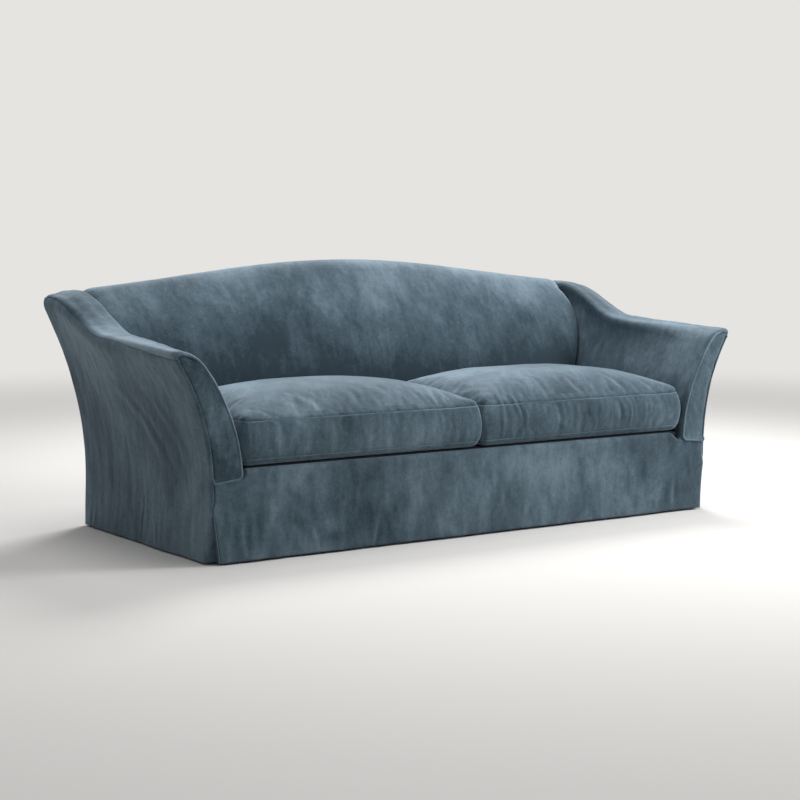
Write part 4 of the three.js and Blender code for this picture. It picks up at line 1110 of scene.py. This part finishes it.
def makeFrontSkirt():
    v = frontSkirt
    plane, columns, rollSteps, turnSteps = v["plane"], v["columns"], v["rollSteps"], v["turnSteps"]
    notch = float(armInnerX(plane, armForm["foot"]))
    outerX = float(armOuterX(plane, armForm["foot"]))
    near = np.linspace(notch / outerX - 0.03, notch / outerX + 0.03, 31)
    middle = np.unique(np.round(np.concatenate([np.linspace(-1, 1, 321), near, -near]), 5))
    rows = len(middle) + 2 * turnSteps - 1
    table = np.zeros((rows + 1, columns + 1, 3))
    # heights up the drop, then round the roll at the top and in behind it
    dropTo, rollTo = columns - rollSteps - 3, columns - 3
    rise = 1 - (1 - np.linspace(0, 1, dropTo)) ** 1.35
    arc = np.linspace(0, 1, rollSteps + 1)[1:] * math.pi / 2
    for i in range(rows + 1):
        # step runs across the front from -1 to 1, turn round the pleat's fold from 0 to 1
        if i < turnSteps:
            step, turn = -1.0, (turnSteps - i) / turnSteps
        elif i > rows - turnSteps:
            step, turn = 1.0, (i - rows + turnSteps) / turnSteps
        else:
            step, turn = float(middle[i - turnSteps]), 0.0
        side = 1 if step >= 0 else -1
        reach = abs(step)
        # the top line of this column: its corner falls away beside the arm, and behind the panel it stays low
        sideName = "right" if side > 0 else "left"
        cornerReach = v["cornerReach"][sideName]
        past = reach * outerX - notch
        falling = float(np.clip((past + cornerReach) / cornerReach, 0, 1)) ** 1.7
        rolledDown = float(ease(past / 0.012))
        topZ = mix(v["apronTop"] - v["cornerFall"][sideName] * falling, v["hiddenTop"], rolledDown)
        roll = float(np.clip((topZ - v["tuckFrom"]) * 1.3 + 0.0015, 0.003, v["roll"]))
        uneven = 0.5 + 0.5 * noise.noise(Vector((step * 6.0, 3.3, 0.7)))
        hem = sofaForm["hem"] + v["hemRise"] * uneven * (1 - reach ** 12)
        z = np.full(columns + 1, topZ - roll)
        y = np.full(columns + 1, float(plane))
        z[:dropTo] = mix(hem, topZ - roll, rise)
        z[dropTo:rollTo] = topZ - roll + roll * np.sin(arc)
        y[dropTo:rollTo] = plane + roll * (1 - np.cos(arc))
        z[rollTo:] = topZ - np.array([0.0006, 0.0018, 0.004, 0.006])
        y[rollTo:] = plane + roll + np.array([0.003, 0.006, 0.008, 0.009]) * mix(1.0, 0.3, rolledDown)
        open_ = np.clip(1 - z / v["pleatTop"], 0, 1)
        folded = ease(open_ * v["foldQuick"])
        edge = armOuterX(plane, z) + sidePanel["hemSpread"] * hemShare(z) - v["edgeInset"]
        edge = edge + v["foldOut"] * folded - v["pleatOpening"] * open_
        hang = v["flare"] * hemShare(z) / hemShare(sofaForm["hem"])
        # it goes in behind the front of the arm, above the seat rail
        behind = ease((edge * reach - armInnerX(plane, z) - 0.0005) / 0.005)
        y = y - hang + v["tuck"] * behind * ease((z - v["tuckFrom"]) / 0.004)
        x = edge * reach
        if turn:
            # the fold of the pleat, or the seam's turn above it
            angle = min(1.0, turn / 0.5) * math.pi / 2
            back = max(0.0, turn - 0.5) / 0.5
            small = v["cornerRound"] * (0.4 + 0.6 * folded)
            x = edge - small * (1 - math.cos(angle)) * 0.4
            y = y + small * math.sin(angle) + back * v["returnBelow"] * folded + back * 0.003
        table[i, :, 0] = x * side
        table[i, :, 1] = y
        table[i, :, 2] = z
    x, z = table[..., 0], table[..., 2]
    low = np.clip(1 - z / v["foldTop"], 0, 1) ** 1.2
    still = np.zeros(turnSteps)
    calm = ease(np.concatenate([still, 1 - np.abs(middle), still])[:, None] / 0.03)
    top = np.clip((v["apronTop"] - 0.01 - z) / 0.03, 0, 1)
    narrow = ripples(x + 0.15 * z, v["narrowSize"], v["seed"] + 2)
    # relief of the folds and their painted tone: light on ridges, shade in hollows
    read, paintedShading = readFolds(table, skirtFolds, 1)
    relief = calm * low * v["foldHeight"] * (ripples(x, v["foldSize"], v["seed"]) + 0.55 * narrow)
    relief += calm * top * v["unevenness"] * clouds(table * np.array([1, 1, 0.6]), 0.12, v["seed"] + 5)
    relief += calm * read
    # the seat rail behind it keeps it from falling in
    relief = np.where((z > 0.11) & (z < 0.27), np.maximum(relief, v["deepest"]), relief)
    piece = clothFrom("frontSkirt", table, (0, -1, 0), velvetSkirt, relief, paintedShading=paintedShading * calm)
    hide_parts("front_skirt")


makeFrontSkirt()

pleat = {
    "reach": 0.085,
    "top": 0.213,
    "foot": 0.010,
    "out": 0.004,
    "plane": -0.452,
    "turn": 0.020,
    "tuck": 0.010,
    "rows": 60,
    "columns": 30,
    "seed": 61.0,
}


def makePleatUnderlay(sideName):
    # the inner fold of the kick pleat, behind the corner of the skirt
    v = pleat
    sign, rows, columns = sideSign[sideName], v["rows"], v["columns"]
    cornerX, plane = sofaForm["halfWidth"] + v["out"], v["plane"]
    start = (cornerX - v["reach"], plane + 0.004)
    line = alongPath(np.concatenate([
        [start],
        bend(start, (cornerX - 0.004, plane), (cornerX - 0.006, plane + v["turn"]), 26),
        [(cornerX - 0.006, plane + v["reach"])],
    ]), rows)
    table = np.zeros((rows + 1, columns + 1, 3))
    for j, z in enumerate(np.linspace(v["foot"], v["top"], columns + 1)):
        tuck = v["tuck"] * (z / v["top"]) ** 1.5
        table[:, j, 0] = sign * (line[:, 0] - tuck)
        table[:, j, 1] = line[:, 1] + tuck
        table[:, j, 2] = z
    relief = 0.0012 * clouds(table, 0.05, v["seed"])
    facing = (sign * 0.7, -0.7, 0)
    piece = clothFrom(
        f"pleatUnderlay_{sideName}", table, facing, velvetSkirt, relief, thickness=0.002)
    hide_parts(f"pleat_underlay_{sideName}")


for sideName in ("left", "right"):
    makePleatUnderlay(sideName)
print("skirts hung")


# ---- seat cushions ----

seatCushion = {
    "boxing": 0.139,
    "crown": 0.0760,
    "quickRise": 0.010,
    "cuts": (87, 61, 19),
    "edgeRise": {"left": 0.025, "right": 0.031},
    "edgeWidth": 0.056,
    "cornerRound": 0.027,
    "drawIn": 0.004,
    "crownSquare": 4.2,
    "crownFall": 2.4,
    "crownFull": 1.08,
    "sideFullness": 0.014,
    "fullAt": 1.2,
    "weltInset": 0.002,
    "frontOut": 0.004,
    "endOut": 0.008,
    "midShift": 0.009,
    "underRound": 0.030,
    "underInset": 0.024,
    "startShrink": 0.002,
    "crowding": 1.25,
    "weltRadius": 0.0028,
    "weltSunk": 0.0012,
    "grooveDepth": 0.0032,
    "grooveWidth": 0.0036,
    "lowerSeam": 0.021,
    "lowerRadius": 0.0017,
    "pressure": 4.5,
    "slack": 0.010,
    "settleSteps": 20,
    "cap": 0.022,
    "pucker": 0.0011,
    "puckerWidth": 0.016,
    "unevenness": 0.0014,
    "topTurn": 0.42,
    "sideShare": 0.75,
    "topShare": 0.60,
    "zipFlat": 0.1637,
    "zipMiddle": 0.4535,
    "zipWidth": 0.026,
    "zipLength": 0.716,
    "coilTurns": 250,
    "coilSteps": 3500,
    "coilRadius": 0.0009,
    # painted shade on the left cushion's boxing, painted light on the right one's
    "paintedTone": {"left": -0.35, "right": 0.05},
    "seed": {"left": 71.0, "right": 83.0},
}

# the cover's cloth while its filling rounds it out
coverCloth = {
    "quality": 6,
    "mass": 0.35,
    "tension_stiffness": 18,
    "compression_stiffness": 18,
    "shear_stiffness": 9,
    "bending_stiffness": 0.6,
    "air_damping": 2,
    "use_pressure": True,
    "vertex_group_mass": "held",
}

# folds read off the front of each cushion: points in x and z there, half width, height
boxingFolds = {
    "right": [
        ([(0.092, 0.470), (0.095, 0.436), (0.091, 0.385), (0.092, 0.323)], 0.0060, 0.0034),
        ([(0.112, 0.452), (0.113, 0.400), (0.111, 0.350)], 0.0060, -0.0020),
        ([(0.149, 0.467), (0.156, 0.439), (0.164, 0.399)], 0.0062, 0.0040),
        ([(0.180, 0.452), (0.182, 0.431), (0.194, 0.394), (0.192, 0.350)], 0.0060, 0.0030),
        ([(0.170, 0.440), (0.176, 0.400), (0.176, 0.352)], 0.0052, -0.0026),
        ([(0.287, 0.425), (0.288, 0.388)], 0.0080, -0.0030),
        ([(0.347, 0.422), (0.345, 0.380), (0.347, 0.334)], 0.0070, -0.0030),
        ([(0.401, 0.443), (0.404, 0.400), (0.401, 0.338)], 0.0080, -0.0032),
        ([(0.596, 0.436), (0.617, 0.412), (0.624, 0.380), (0.618, 0.345)], 0.0080, -0.0034),
        ([(0.650, 0.432), (0.666, 0.411), (0.668, 0.370), (0.664, 0.332)], 0.0058, 0.0034),
        ([(0.700, 0.418), (0.704, 0.370)], 0.0070, -0.0022),
        ([(0.734, 0.428), (0.738, 0.400), (0.734, 0.331)], 0.0056, 0.0030),
        ([(0.520, 0.420), (0.518, 0.350)], 0.0100, -0.0018),
    ],
    "left": [
        ([(-0.176, 0.480), (-0.168, 0.464), (-0.163, 0.410), (-0.159, 0.353)], 0.0056, 0.0036),
        ([(-0.148, 0.448), (-0.146, 0.365)], 0.0052, -0.0026),
        ([(-0.134, 0.470), (-0.131, 0.455), (-0.130, 0.410), (-0.131, 0.364)], 0.0054, 0.0034),
        ([(-0.552, 0.425), (-0.556, 0.350)], 0.0130, -0.0026),
        ([(-0.585, 0.400), (-0.590, 0.340)], 0.0120, 0.0018),
        ([(-0.285, 0.430), (-0.287, 0.350)], 0.0120, -0.0024),
        ([(-0.320, 0.400), (-0.318, 0.345)], 0.0110, 0.0018),
        ([(-0.640, 0.425), (-0.644, 0.340)], 0.0120, -0.0024),
        ([(-0.760, 0.400), (-0.765, 0.335)], 0.0120, -0.0020),
        ([(-0.452, 0.352), (-0.425, 0.368), (-0.405, 0.392)], 0.0060, 0.0022),
    ],
}

# folds on the top: points in x and y there, half width, height
topFolds = {
    "right": [
        ([(0.128, -0.330), (0.100, -0.395), (0.092, -0.440)], 0.0100, 0.0034),
        ([(0.307, -0.192), (0.205, -0.330), (0.152, -0.435)], 0.0110, 0.0036),
        ([(0.290, -0.300), (0.215, -0.380), (0.184, -0.440)], 0.0100, 0.0026),
        ([(0.470, -0.250), (0.420, -0.350), (0.402, -0.430)], 0.0130, -0.0030),
        ([(0.070, -0.380), (0.045, -0.300), (0.040, -0.200)], 0.0140, 0.0026),
        ([(0.640, -0.330), (0.612, -0.390), (0.600, -0.440)], 0.0110, -0.0024),
    ],
    "left": [
        ([(-0.150, -0.330), (-0.166, -0.390), (-0.172, -0.440)], 0.0090, 0.0030),
        ([(-0.112, -0.340), (-0.124, -0.400), (-0.132, -0.440)], 0.0090, 0.0026),
        ([(-0.700, -0.330), (-0.640, -0.400), (-0.610, -0.440)], 0.0150, 0.0026),
        ([(-0.520, -0.330), (-0.490, -0.430)], 0.0150, -0.0022),
        ([(-0.330, -0.320), (-0.300, -0.430)], 0.0140, -0.0020),
    ],
}


def planRound(a, b, halfX, halfY, corner):
    # a point of the square from -1 to 1 carried to the cushion's rounded plan
    reach = np.maximum(np.abs(a), np.abs(b))
    safe = np.maximum(reach, 1e-6)
    x, y = a / safe * halfX, b / safe * halfY
    # round the corners off: pull points near a corner on to its arc
    cx, cy = halfX - corner, halfY - corner
    over = (np.abs(x) > cx) & (np.abs(y) > cy)
    dx, dy = np.abs(x) - cx, np.abs(y) - cy
    longest = np.maximum(np.maximum(dx, dy), 1e-9)
    angle = (math.pi / 4) * (1 + np.where(dx >= dy, -(1 - dy / longest), 1 - dx / longest))
    x = np.where(over, np.sign(x) * (cx + corner * np.cos(angle)), x)
    y = np.where(over, np.sign(y) * (cy + corner * np.sin(angle)), y)
    return x * reach, y * reach, reach


def crownHeight(x, y, halfX, halfY, crown, edgeRise):
    # a low dome with a full rolled edge all round
    v = seatCushion
    u, w = np.abs(x) / halfX, np.abs(y) / halfY
    reach = (u ** v["crownSquare"] + w ** v["crownSquare"]) ** (1 / v["crownSquare"])
    dome = np.clip(1 - reach ** v["crownFall"], 0, 1) ** v["crownFull"]
    qx, qy = np.abs(x) - (halfX - v["cornerRound"]), np.abs(y) - (halfY - v["cornerRound"])
    beyond = np.hypot(np.maximum(qx, 0), np.maximum(qy, 0)) + np.minimum(np.maximum(qx, qy), 0)
    edge = quarterRound(v["cornerRound"] - beyond, v["edgeWidth"])
    return (crown - edgeRise) * dome + edgeRise * edge


def pointsOf(mesh, kind="co"):
    values = np.empty(len(mesh.vertices) * 3, np.float32)
    mesh.vertices.foreach_get(kind, values)
    return values.reshape(-1, 3).astype(float)


def setPoints(mesh, points):
    mesh.vertices.foreach_set("co", points.astype(np.float32).ravel())
    mesh.update()


def inflate(piece, holds):
    # the filling's pressure rounds the cover out between the seams that hold it
    v = seatCushion
    start = pointsOf(piece.data)
    group = piece.vertex_groups.new(name="held")
    for places, weight in holds:
        group.add(places, weight, "REPLACE")
    modifier = piece.modifiers.new("cover", "CLOTH")
    for key, value in coverCloth.items():
        setattr(modifier.settings, key, value)
    modifier.settings.uniform_pressure_force = v["pressure"]
    modifier.settings.shrink_min = -v["slack"]
    modifier.settings.effector_weights.gravity = 0
    modifier.collision_settings.use_collision = False
    modifier.point_cache.frame_start = 1
    modifier.point_cache.frame_end = v["settleSteps"]
    for step in range(1, v["settleSteps"] + 1):
        bpy.context.scene.frame_set(step)
    settled = pointsOf(piece.evaluated_get(bpy.context.evaluated_depsgraph_get()).data)
    bpy.context.scene.frame_set(1)
    piece.modifiers.remove(modifier)
    moved = settled - start
    far = np.linalg.norm(moved, axis=1, keepdims=True)
    moved *= np.minimum(1, v["cap"] / np.maximum(far, 1e-9))
    setPoints(piece.data, start + moved)
    spread = [round(float(step) * 1000, 1) for step in np.quantile(far, (0.5, 0.9, 0.99, 1))]
    print(piece.name, "filled out by", spread, "mm")


def keepClear(points, sideName, foot):
    # no further than the arm, the back, the deck and the other cushion allow, and flat along the zip
    v, sign = seatCushion, sideSign[sideName]
    x, y, z = points[:, 0] * sign, points[:, 1], points[:, 2]
    z = np.maximum(z, foot)
    x = np.clip(x, v["midShift"] * sign + 0.0009, armInnerX(y, z) - 0.0016)
    y = np.minimum(y, backFaceY(x, z) - 0.003)
    beside = np.maximum(np.abs(z - foot - v["boxing"] / 2) - 0.016, 0)
    beyond = np.maximum(np.abs(x - v["zipMiddle"]) - v["zipLength"] / 2, 0)
    y = np.minimum(y, v["zipFlat"] + 0.35 * np.hypot(beside, beyond))
    return np.stack([x * sign, y, z], axis=1)


def surfaceTree(points, mesh):
    faces = [tuple(face.vertices) for face in mesh.polygons]
    return bvhtree.BVHTree.FromPolygons([Vector(point) for point in points], faces)


def onSurface(tree, path, sunk):
    # a path laid on the cushion, a given way below its surface
    laid = []
    for point in path:
        place, normal = tree.find_nearest(Vector(point))[:2]
        laid.append(place - normal * sunk)
    laid = np.array(laid)
    for turn in range(2):
        laid = (np.roll(laid, 1, axis=0) + 2 * laid + np.roll(laid, -1, axis=0)) / 4
    return laid


def awayFrom(points, path):
    # distance to the nearest point of a path, for the points that lie near it
    tree = kdtree.KDTree(len(path))
    for i, place in enumerate(path):
        tree.insert(place, i)
    tree.balance()
    near = np.abs(points[:, 2] - path[:, 2].mean()) < 0.03
    away = np.full(len(points), 9.0)
    away[near] = [tree.find(point)[2] for point in points[near]]
    return away


def ringAround(points, ahead):
    # points of one seam in order round the cushion, then shifted to even steps
    angle = np.arctan2(points[:, 1] - ahead[1], (points[:, 0] - ahead[0]) * 0.68)
    path = points[np.argsort(angle)]
    return alongPath(np.concatenate([path, path[:1]]), 620)[:-1]


def foldsOnSurface(tree, folds, upright, share):
    # folds drawn on a view of the cushion from the front, or from above, laid on its surface
    laid = []
    for line, wide, high in folds:
        path = []
        for a, b in line:
            start, ahead = ((a, -1.0, b), (0, 1, 0)) if upright else ((a, b, 1.0), (0, 0, -1))
            start = Vector(start)
            path.append(tuple(tree.ray_cast(start, Vector(ahead))[0] or tree.find_nearest(start)[0]))
        laid.append((path, wide, high * share))
    return laid


def cushionShape(sideName, low, high):
    # the cushion before it fills out, with the places of its held seams
    v, sign = seatCushion, sideSign[sideName]
    outer, inner = max(abs(low[0]), abs(high[0])) + v["endOut"], v["midShift"] * sign + 0.0015
    front, rear, foot = low[1] - v["frontOut"], high[1], low[2]
    middle = (sign * (outer + inner) / 2, (front + rear) / 2)
    halfX, halfY = (outer - inner) / 2 - v["startShrink"], (rear - front) / 2 - v["startShrink"]
    bm = bmesh.new()
    bmesh.ops.create_cube(bm, size=2)
    for axis, cuts in enumerate(v["cuts"]):
        edges = [e for e in bm.edges if abs((e.verts[0].co - e.verts[1].co)[axis]) > 1e-4]
        bmesh.ops.subdivide_edges(bm, edges=edges, cuts=cuts, use_grid_fill=True)
    a, b, c = np.array([vert.co for vert in bm.verts]).T
    a = np.sign(a) * (1 - (1 - np.abs(a)) ** v["crowding"])
    b = np.sign(b) * (1 - (1 - np.abs(b)) ** v["crowding"])
    x, y, reach = planRound(a, b, halfX, halfY, v["cornerRound"])
    # sides drawn in a little between the corners, full at mid height and rounded under at the foot
    u, w = x / halfX, y / halfY
    lift = (c + 1) / 2 - 0.060 * np.sin(math.pi * (c + 1))
    height = v["boxing"] * lift
    full = v["sideFullness"] * np.sin(math.pi * np.clip(lift, 0, 1) ** v["fullAt"]) - v["weltInset"]
    under = v["underInset"] * (1 - quarterRound(height, v["underRound"]))
    outward = ease((reach - 0.86) / 0.14) * (full - under)
    normalX, normalY = np.sign(u) * np.abs(u) ** 8, np.sign(w) * np.abs(w) ** 8
    size = np.maximum(np.hypot(normalX, normalY), 1e-6)
    x = x - v["drawIn"] * np.clip(1 - w * w, 0, 1) * u ** 7 + outward * normalX / size
    y = y - v["drawIn"] * np.clip(1 - u * u, 0, 1) * w ** 7 + outward * normalY / size
    crown = v["crown"] + 0.0
    dome = crownHeight(u * halfX, w * halfY, halfX, halfY, crown, v["edgeRise"][sideName])
    z = foot + height + np.where(c > 0.999, dome, 0)
    onRim = reach > 0.999
    lowerLevel = height[onRim & (height >= v["lowerSeam"] - 0.004)].min()
    held = {
        "under": np.flatnonzero(height < 0.003),
        "lower": np.flatnonzero(onRim & (np.abs(height - lowerLevel) < 1e-4)),
        "seam": np.flatnonzero(onRim & (c > 0.999)),
    }
    for vert, px, py, pz in zip(bm.verts, x, y, z):
        vert.co = (px + middle[0], py + middle[1], pz)
    bm.normal_update()
    uvLayer = bm.loops.layers.uv.new("cloth")
    turnX, turnY = math.cos(v["topTurn"]), math.sin(v["topTurn"])
    for face in bm.faces:
        normal = face.normal
        for loop in face.loops:
            p = loop.vert.co
            if abs(normal.z) > 0.75:
                loop[uvLayer].uv = (p.x * turnX - p.y * turnY, p.x * turnY + p.y * turnX)
            else:
                loop[uvLayer].uv = (p.x if abs(normal.y) > abs(normal.x) else p.y, p.z)
    return bm, middle, held


def makeZip(sideName, body):
    # the tape along the back of the cushion, with its coil
    v = seatCushion
    low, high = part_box(f"cushion_zip_{sideName}")
    zipX, zipZ = (low.x + high.x) / 2, (low.z + high.z) / 2
    table = np.zeros((121, 9, 3))
    table[..., 0] = (zipX + np.linspace(-0.5, 0.5, 121) * v["zipLength"])[:, None]
    table[..., 1] = v["zipFlat"] + 0.0007
    table[..., 2] = (zipZ + np.linspace(-0.5, 0.5, 9) * v["zipWidth"])[None, :]
    relief = 0.0002 * clouds(table, 0.05, v["seed"][sideName] + 9)
    tape = clothFrom(
        f"zipTape_{sideName}", table, (0, 1, 0), zipCloth, relief, body, thickness=0.0012)
    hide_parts(f"cushion_zip_{sideName}")
    count = v["coilSteps"] + 1
    along = zipX + np.linspace(-0.5, 0.5, count) * (v["zipLength"] - 0.02)
    coil = np.arange(count) / v["coilSteps"] * 2 * math.pi * v["coilTurns"]
    deep, level = v["zipFlat"] + 0.0008 + 0.0003 * np.cos(coil), zipZ + 0.0016 * np.sin(coil)
    path = np.stack([along, deep, level], axis=1)
    cordOf(f"zipCoil_{sideName}", path[::2], v["coilRadius"] * 0.6, zipCloth, body, sides=5)


def makeCushion(sideName):
    v = seatCushion
    seed = v["seed"][sideName]
    body = f"seat_cushion_{sideName}"
    low, high = (np.array(corner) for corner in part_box(f"cushion_cover_{sideName}"))
    foot = low[2]
    bm, middle, held = cushionShape(sideName, low, high)
    piece = finishMesh(f"seatCushion_{sideName}", bm, velvetCushion, body)
    weights = (("under", 1.0), ("lower", 0.9), ("seam", 0.85))
    inflate(piece, [(held[key].tolist(), weight) for key, weight in weights])
    mesh = piece.data
    setPoints(mesh, keepClear(pointsOf(mesh), sideName, foot))
    points = pointsOf(mesh)
    seam, lower = (ringAround(points[held[key]], middle) for key in ("seam", "lower"))

    smoother = piece.modifiers.new("rounding", "SUBSURF")
    smoother.levels = 1
    smoother.render_levels = 1
    graph = bpy.context.evaluated_depsgraph_get()
    smooth = piece.evaluated_get(graph)
    mesh = bpy.data.meshes.new_from_object(smooth, preserve_all_data_layers=True, depsgraph=graph)
    piece.modifiers.remove(smoother)
    piece.data = mesh
    mesh.shade_smooth()

    # grooves beside the seams and the folds of the cloth
    points, normals = pointsOf(mesh), pointsOf(mesh, "normal")
    tree = surfaceTree(points, mesh)
    seam, lower = onSurface(tree, seam, 0.0), onSurface(tree, lower, 0.0)
    awaySeam = awayFrom(points, seam + np.array([0, 0, v["grooveWidth"]]))
    groove = bell(awaySeam, v["grooveWidth"])
    lowerGroove = bell(awayFrom(points, lower), v["grooveWidth"])
    paths = foldsOnSurface(tree, boxingFolds[sideName], True, v["sideShare"])
    paths += foldsOnSurface(tree, topFolds[sideName], False, v["topShare"])
    folds = creases(points, paths)
    soft = np.clip((points[:, 2] - foot) / 0.03, 0, 1)
    relief = folds * soft
    relief += v["pucker"] * bell(awaySeam, v["puckerWidth"]) * clouds(points, 0.030, seed + 3, 2)
    relief += v["unevenness"] * soft * clouds(points, 0.11, seed, 2)
    relief -= v["grooveDepth"] * groove + 0.5 * v["grooveDepth"] * lowerGroove
    points = keepClear(points + normals * relief[:, None], sideName, foot)
    setPoints(mesh, points)
    paintedShading = mesh.attributes.new("paintedShading", "FLOAT", "POINT")
    # painted shading: light on fold ridges, shade in fold hollows, painted dark lines beside both seams, and
    # the boxing's painted tone on each side
    shade = np.clip(folds / 0.0036, -1, 1) * 0.75 - 1.9 * groove - 0.7 * lowerGroove
    shade += v["paintedTone"][sideName] * ease((foot + v["boxing"] + 0.004 - points[:, 2]) / 0.008)
    paintedShading.data.foreach_set("value", shade.astype(np.float32))
    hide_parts(f"cushion_cover_{sideName}", f"cushion_core_{sideName}")

    # the welt along the top seam and a narrow one along the lower seam
    tree = surfaceTree(points, mesh)
    upper, lower = onSurface(tree, seam, v["weltSunk"]), onSurface(tree, lower, 0.0004)
    cordOf(f"cushionWelt_{sideName}", upper, v["weltRadius"], velvetWelt, body, closed=True)
    cordOf(f"lowerWelt_{sideName}", lower, v["lowerRadius"], velvetWelt, body, sides=8, closed=True)
    makeZip(sideName, body)


for sideName in ("left", "right"):
    makeCushion(sideName)
print("cushions made")


# ---- seat deck under the cushions ----

seatDeck = {
    "inset": 0.004,
    "frontInset": 0.010,
    "reach": 0.0025,
    "edgeDrop": 0.0055,
    "rows": 150,
    "columns": 56,
    "seed": 91.0,
}


def makeSeatDeck():
    v = seatDeck
    rows, columns = v["rows"], v["columns"]
    low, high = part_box("seat_deck")
    table = np.zeros((rows + 1, columns + 1, 3))
    table[..., 0] = np.linspace(low.x - v["reach"], high.x + v["reach"], rows + 1)[:, None]
    table[..., 1] = np.linspace(low.y + v["frontInset"], high.y - v["inset"], columns + 1)[None, :]
    u = np.minimum(np.arange(rows + 1), rows - np.arange(rows + 1))[:, None] / rows
    w = np.minimum(np.arange(columns + 1), columns - np.arange(columns + 1))[None, :] / columns
    soft = np.clip(u / 0.02, 0, 1) ** 0.5 * np.clip(w / 0.04, 0, 1) ** 0.5
    table[..., 2] = high.z - 0.006 + v["edgeDrop"] * soft
    relief = 0.0008 * clouds(table, 0.12, v["seed"]) - 0.0008
    piece = clothFrom("seatDeck", table, (0, 0, 1), deckCloth, relief, thickness=0.022)
    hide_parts("seat_deck")


makeSeatDeck()
print("seat deck laid")


# ---- finishes of the carried-over parts ----

nodeFinish = {
    "hardwood": frameWood,
    "leg_wood": legWood,
    "spring_steel": springSteel,
    "glide_plastic": glidePlastic,
    "zip_metal": zipMetal,
    "zip_tape": zipCloth,
    "padding": cottonPad,
    "foam": foamLook,
    "velvet": velvetArm,
    "pleat_cloth": liningCloth,
}
nodeSlots = {part["node"]: part["material_slot"] for part in frame["record"]["subparts"]}
for name, node in nodes.items():
    for materialSlot in node.material_slots:
        materialSlot.material = nodeFinish[nodeSlots[name]]
print("frame finished")


# ---- floor, light and camera ----

studio = {
    "floorColour": (0.78, 0.765, 0.745),
    "skyColour": (0.79, 0.775, 0.755),
    "fadeFrom": 2.2,
    "fadeTo": 7.5,
    "ambient": 0.235,
    # name, place, size and power of each lamp
    "lamps": [
        ("keyLamp", (2.6, -1.9, 2.6), 1.7, 92),
        ("topLamp", (1.8, 2.2, 3.4), 2.0, 146),
        ("overLamp", (-0.9, -0.2, 3.6), 2.4, 46),
        ("fillLamp", (2.6, -4.4, 1.9), 2.4, 16),
    ],
    "lampTarget": (0, 0, 0.45),
    "floorSize": 30,
    "floorRoughness": 0.9,
    "cameraPlace": (-3.555, -5.223, 1.025),
    "cameraTurn": 34.1045,
    "cameraFall": 5.4516,
    "lens": 79.65,
}


for name, place, size, power in studio["lamps"]:
    lamp = bpy.data.lights.new(name, "AREA")
    lamp.shape = "DISK"
    lamp.size = size
    lamp.energy = power
    holder = bpy.data.objects.new(name, lamp)
    holder.location = place
    aim = Vector(studio["lampTarget"]) - Vector(place)
    holder.rotation_euler = aim.to_track_quat("-Z", "Y").to_euler()
    bpy.context.scene.collection.objects.link(holder)

bm = bmesh.new()
bmesh.ops.create_grid(bm, x_segments=1, y_segments=1, size=studio["floorSize"])
floorMesh = bpy.data.meshes.new("floor")
bm.to_mesh(floorMesh)
bm.free()
floor = bpy.data.objects.new("floor", floorMesh)
bpy.context.scene.collection.objects.link(floor)
floorFinish, floorTree, floorShader = nodeMaterial("floorFinish")
setInputs(floorShader, {"Base Color": (*studio["floorColour"], 1), "Roughness": studio["floorRoughness"]})
# the floor fades into the backdrop away from the sofa
floorPlace = addNode(floorTree, "ShaderNodeTexCoord")
distance = addNode(floorTree, "ShaderNodeVectorMath", operation="LENGTH")
fadeRun = {"From Min": studio["fadeFrom"], "From Max": studio["fadeTo"]}
fade = addNode(floorTree, "ShaderNodeMapRange", fadeRun, interpolation_type="SMOOTHSTEP")
far = addNode(floorTree, "ShaderNodeEmission", {"Color": (*studio["skyColour"], 1)})
floorMix = addNode(floorTree, "ShaderNodeMixShader")
for start, end in (
    (floorPlace.outputs["Object"], distance.inputs[0]),
    (distance.outputs["Value"], fade.inputs["Value"]),
    (fade.outputs["Result"], floorMix.inputs["Fac"]),
    (floorShader.outputs[0], floorMix.inputs[1]),
    (far.outputs[0], floorMix.inputs[2]),
    (floorMix.outputs[0], floorTree.nodes["Material Output"].inputs["Surface"]),
):
    floorTree.links.new(start, end)
floorMesh.materials.append(floorFinish)

# the camera and mirrors see the backdrop, everything else is lit by a dimmer white
world = bpy.data.worlds.new("studioAir")
bpy.context.scene.world = world
world.use_nodes = True
air = world.node_tree
air.nodes.clear()
seen = addNode(air, "ShaderNodeBackground", {"Color": (*studio["skyColour"], 1), "Strength": 1.0})
lit = addNode(air, "ShaderNodeBackground", {"Color": (1, 1, 1, 1), "Strength": studio["ambient"]})
rays = addNode(air, "ShaderNodeLightPath").outputs
either = mathNode(air, "MAXIMUM", rays["Is Camera Ray"], rays["Is Glossy Ray"])
most = mathNode(air, "MAXIMUM", either, rays["Is Transmission Ray"])
blend = addNode(air, "ShaderNodeMixShader")
out = addNode(air, "ShaderNodeOutputWorld")
for start, end in (
    (most, blend.inputs["Fac"]),
    (lit.outputs[0], blend.inputs[1]),
    (seen.outputs[0], blend.inputs[2]),
    (blend.outputs[0], out.inputs["Surface"]),
):
    air.links.new(start, end)

view = bpy.data.cameras.new("photoView")
view.lens = studio["lens"]
view.sensor_width = 36
viewHolder = bpy.data.objects.new("photoView", view)
viewHolder.location = studio["cameraPlace"]
viewHolder.rotation_euler = (math.radians(90 - studio["cameraFall"]), 0, math.radians(-studio["cameraTurn"]))
bpy.context.scene.collection.objects.link(viewHolder)
bpy.context.scene.camera = viewHolder
bpy.context.scene.view_settings.view_transform = "Standard"
print("studio set")
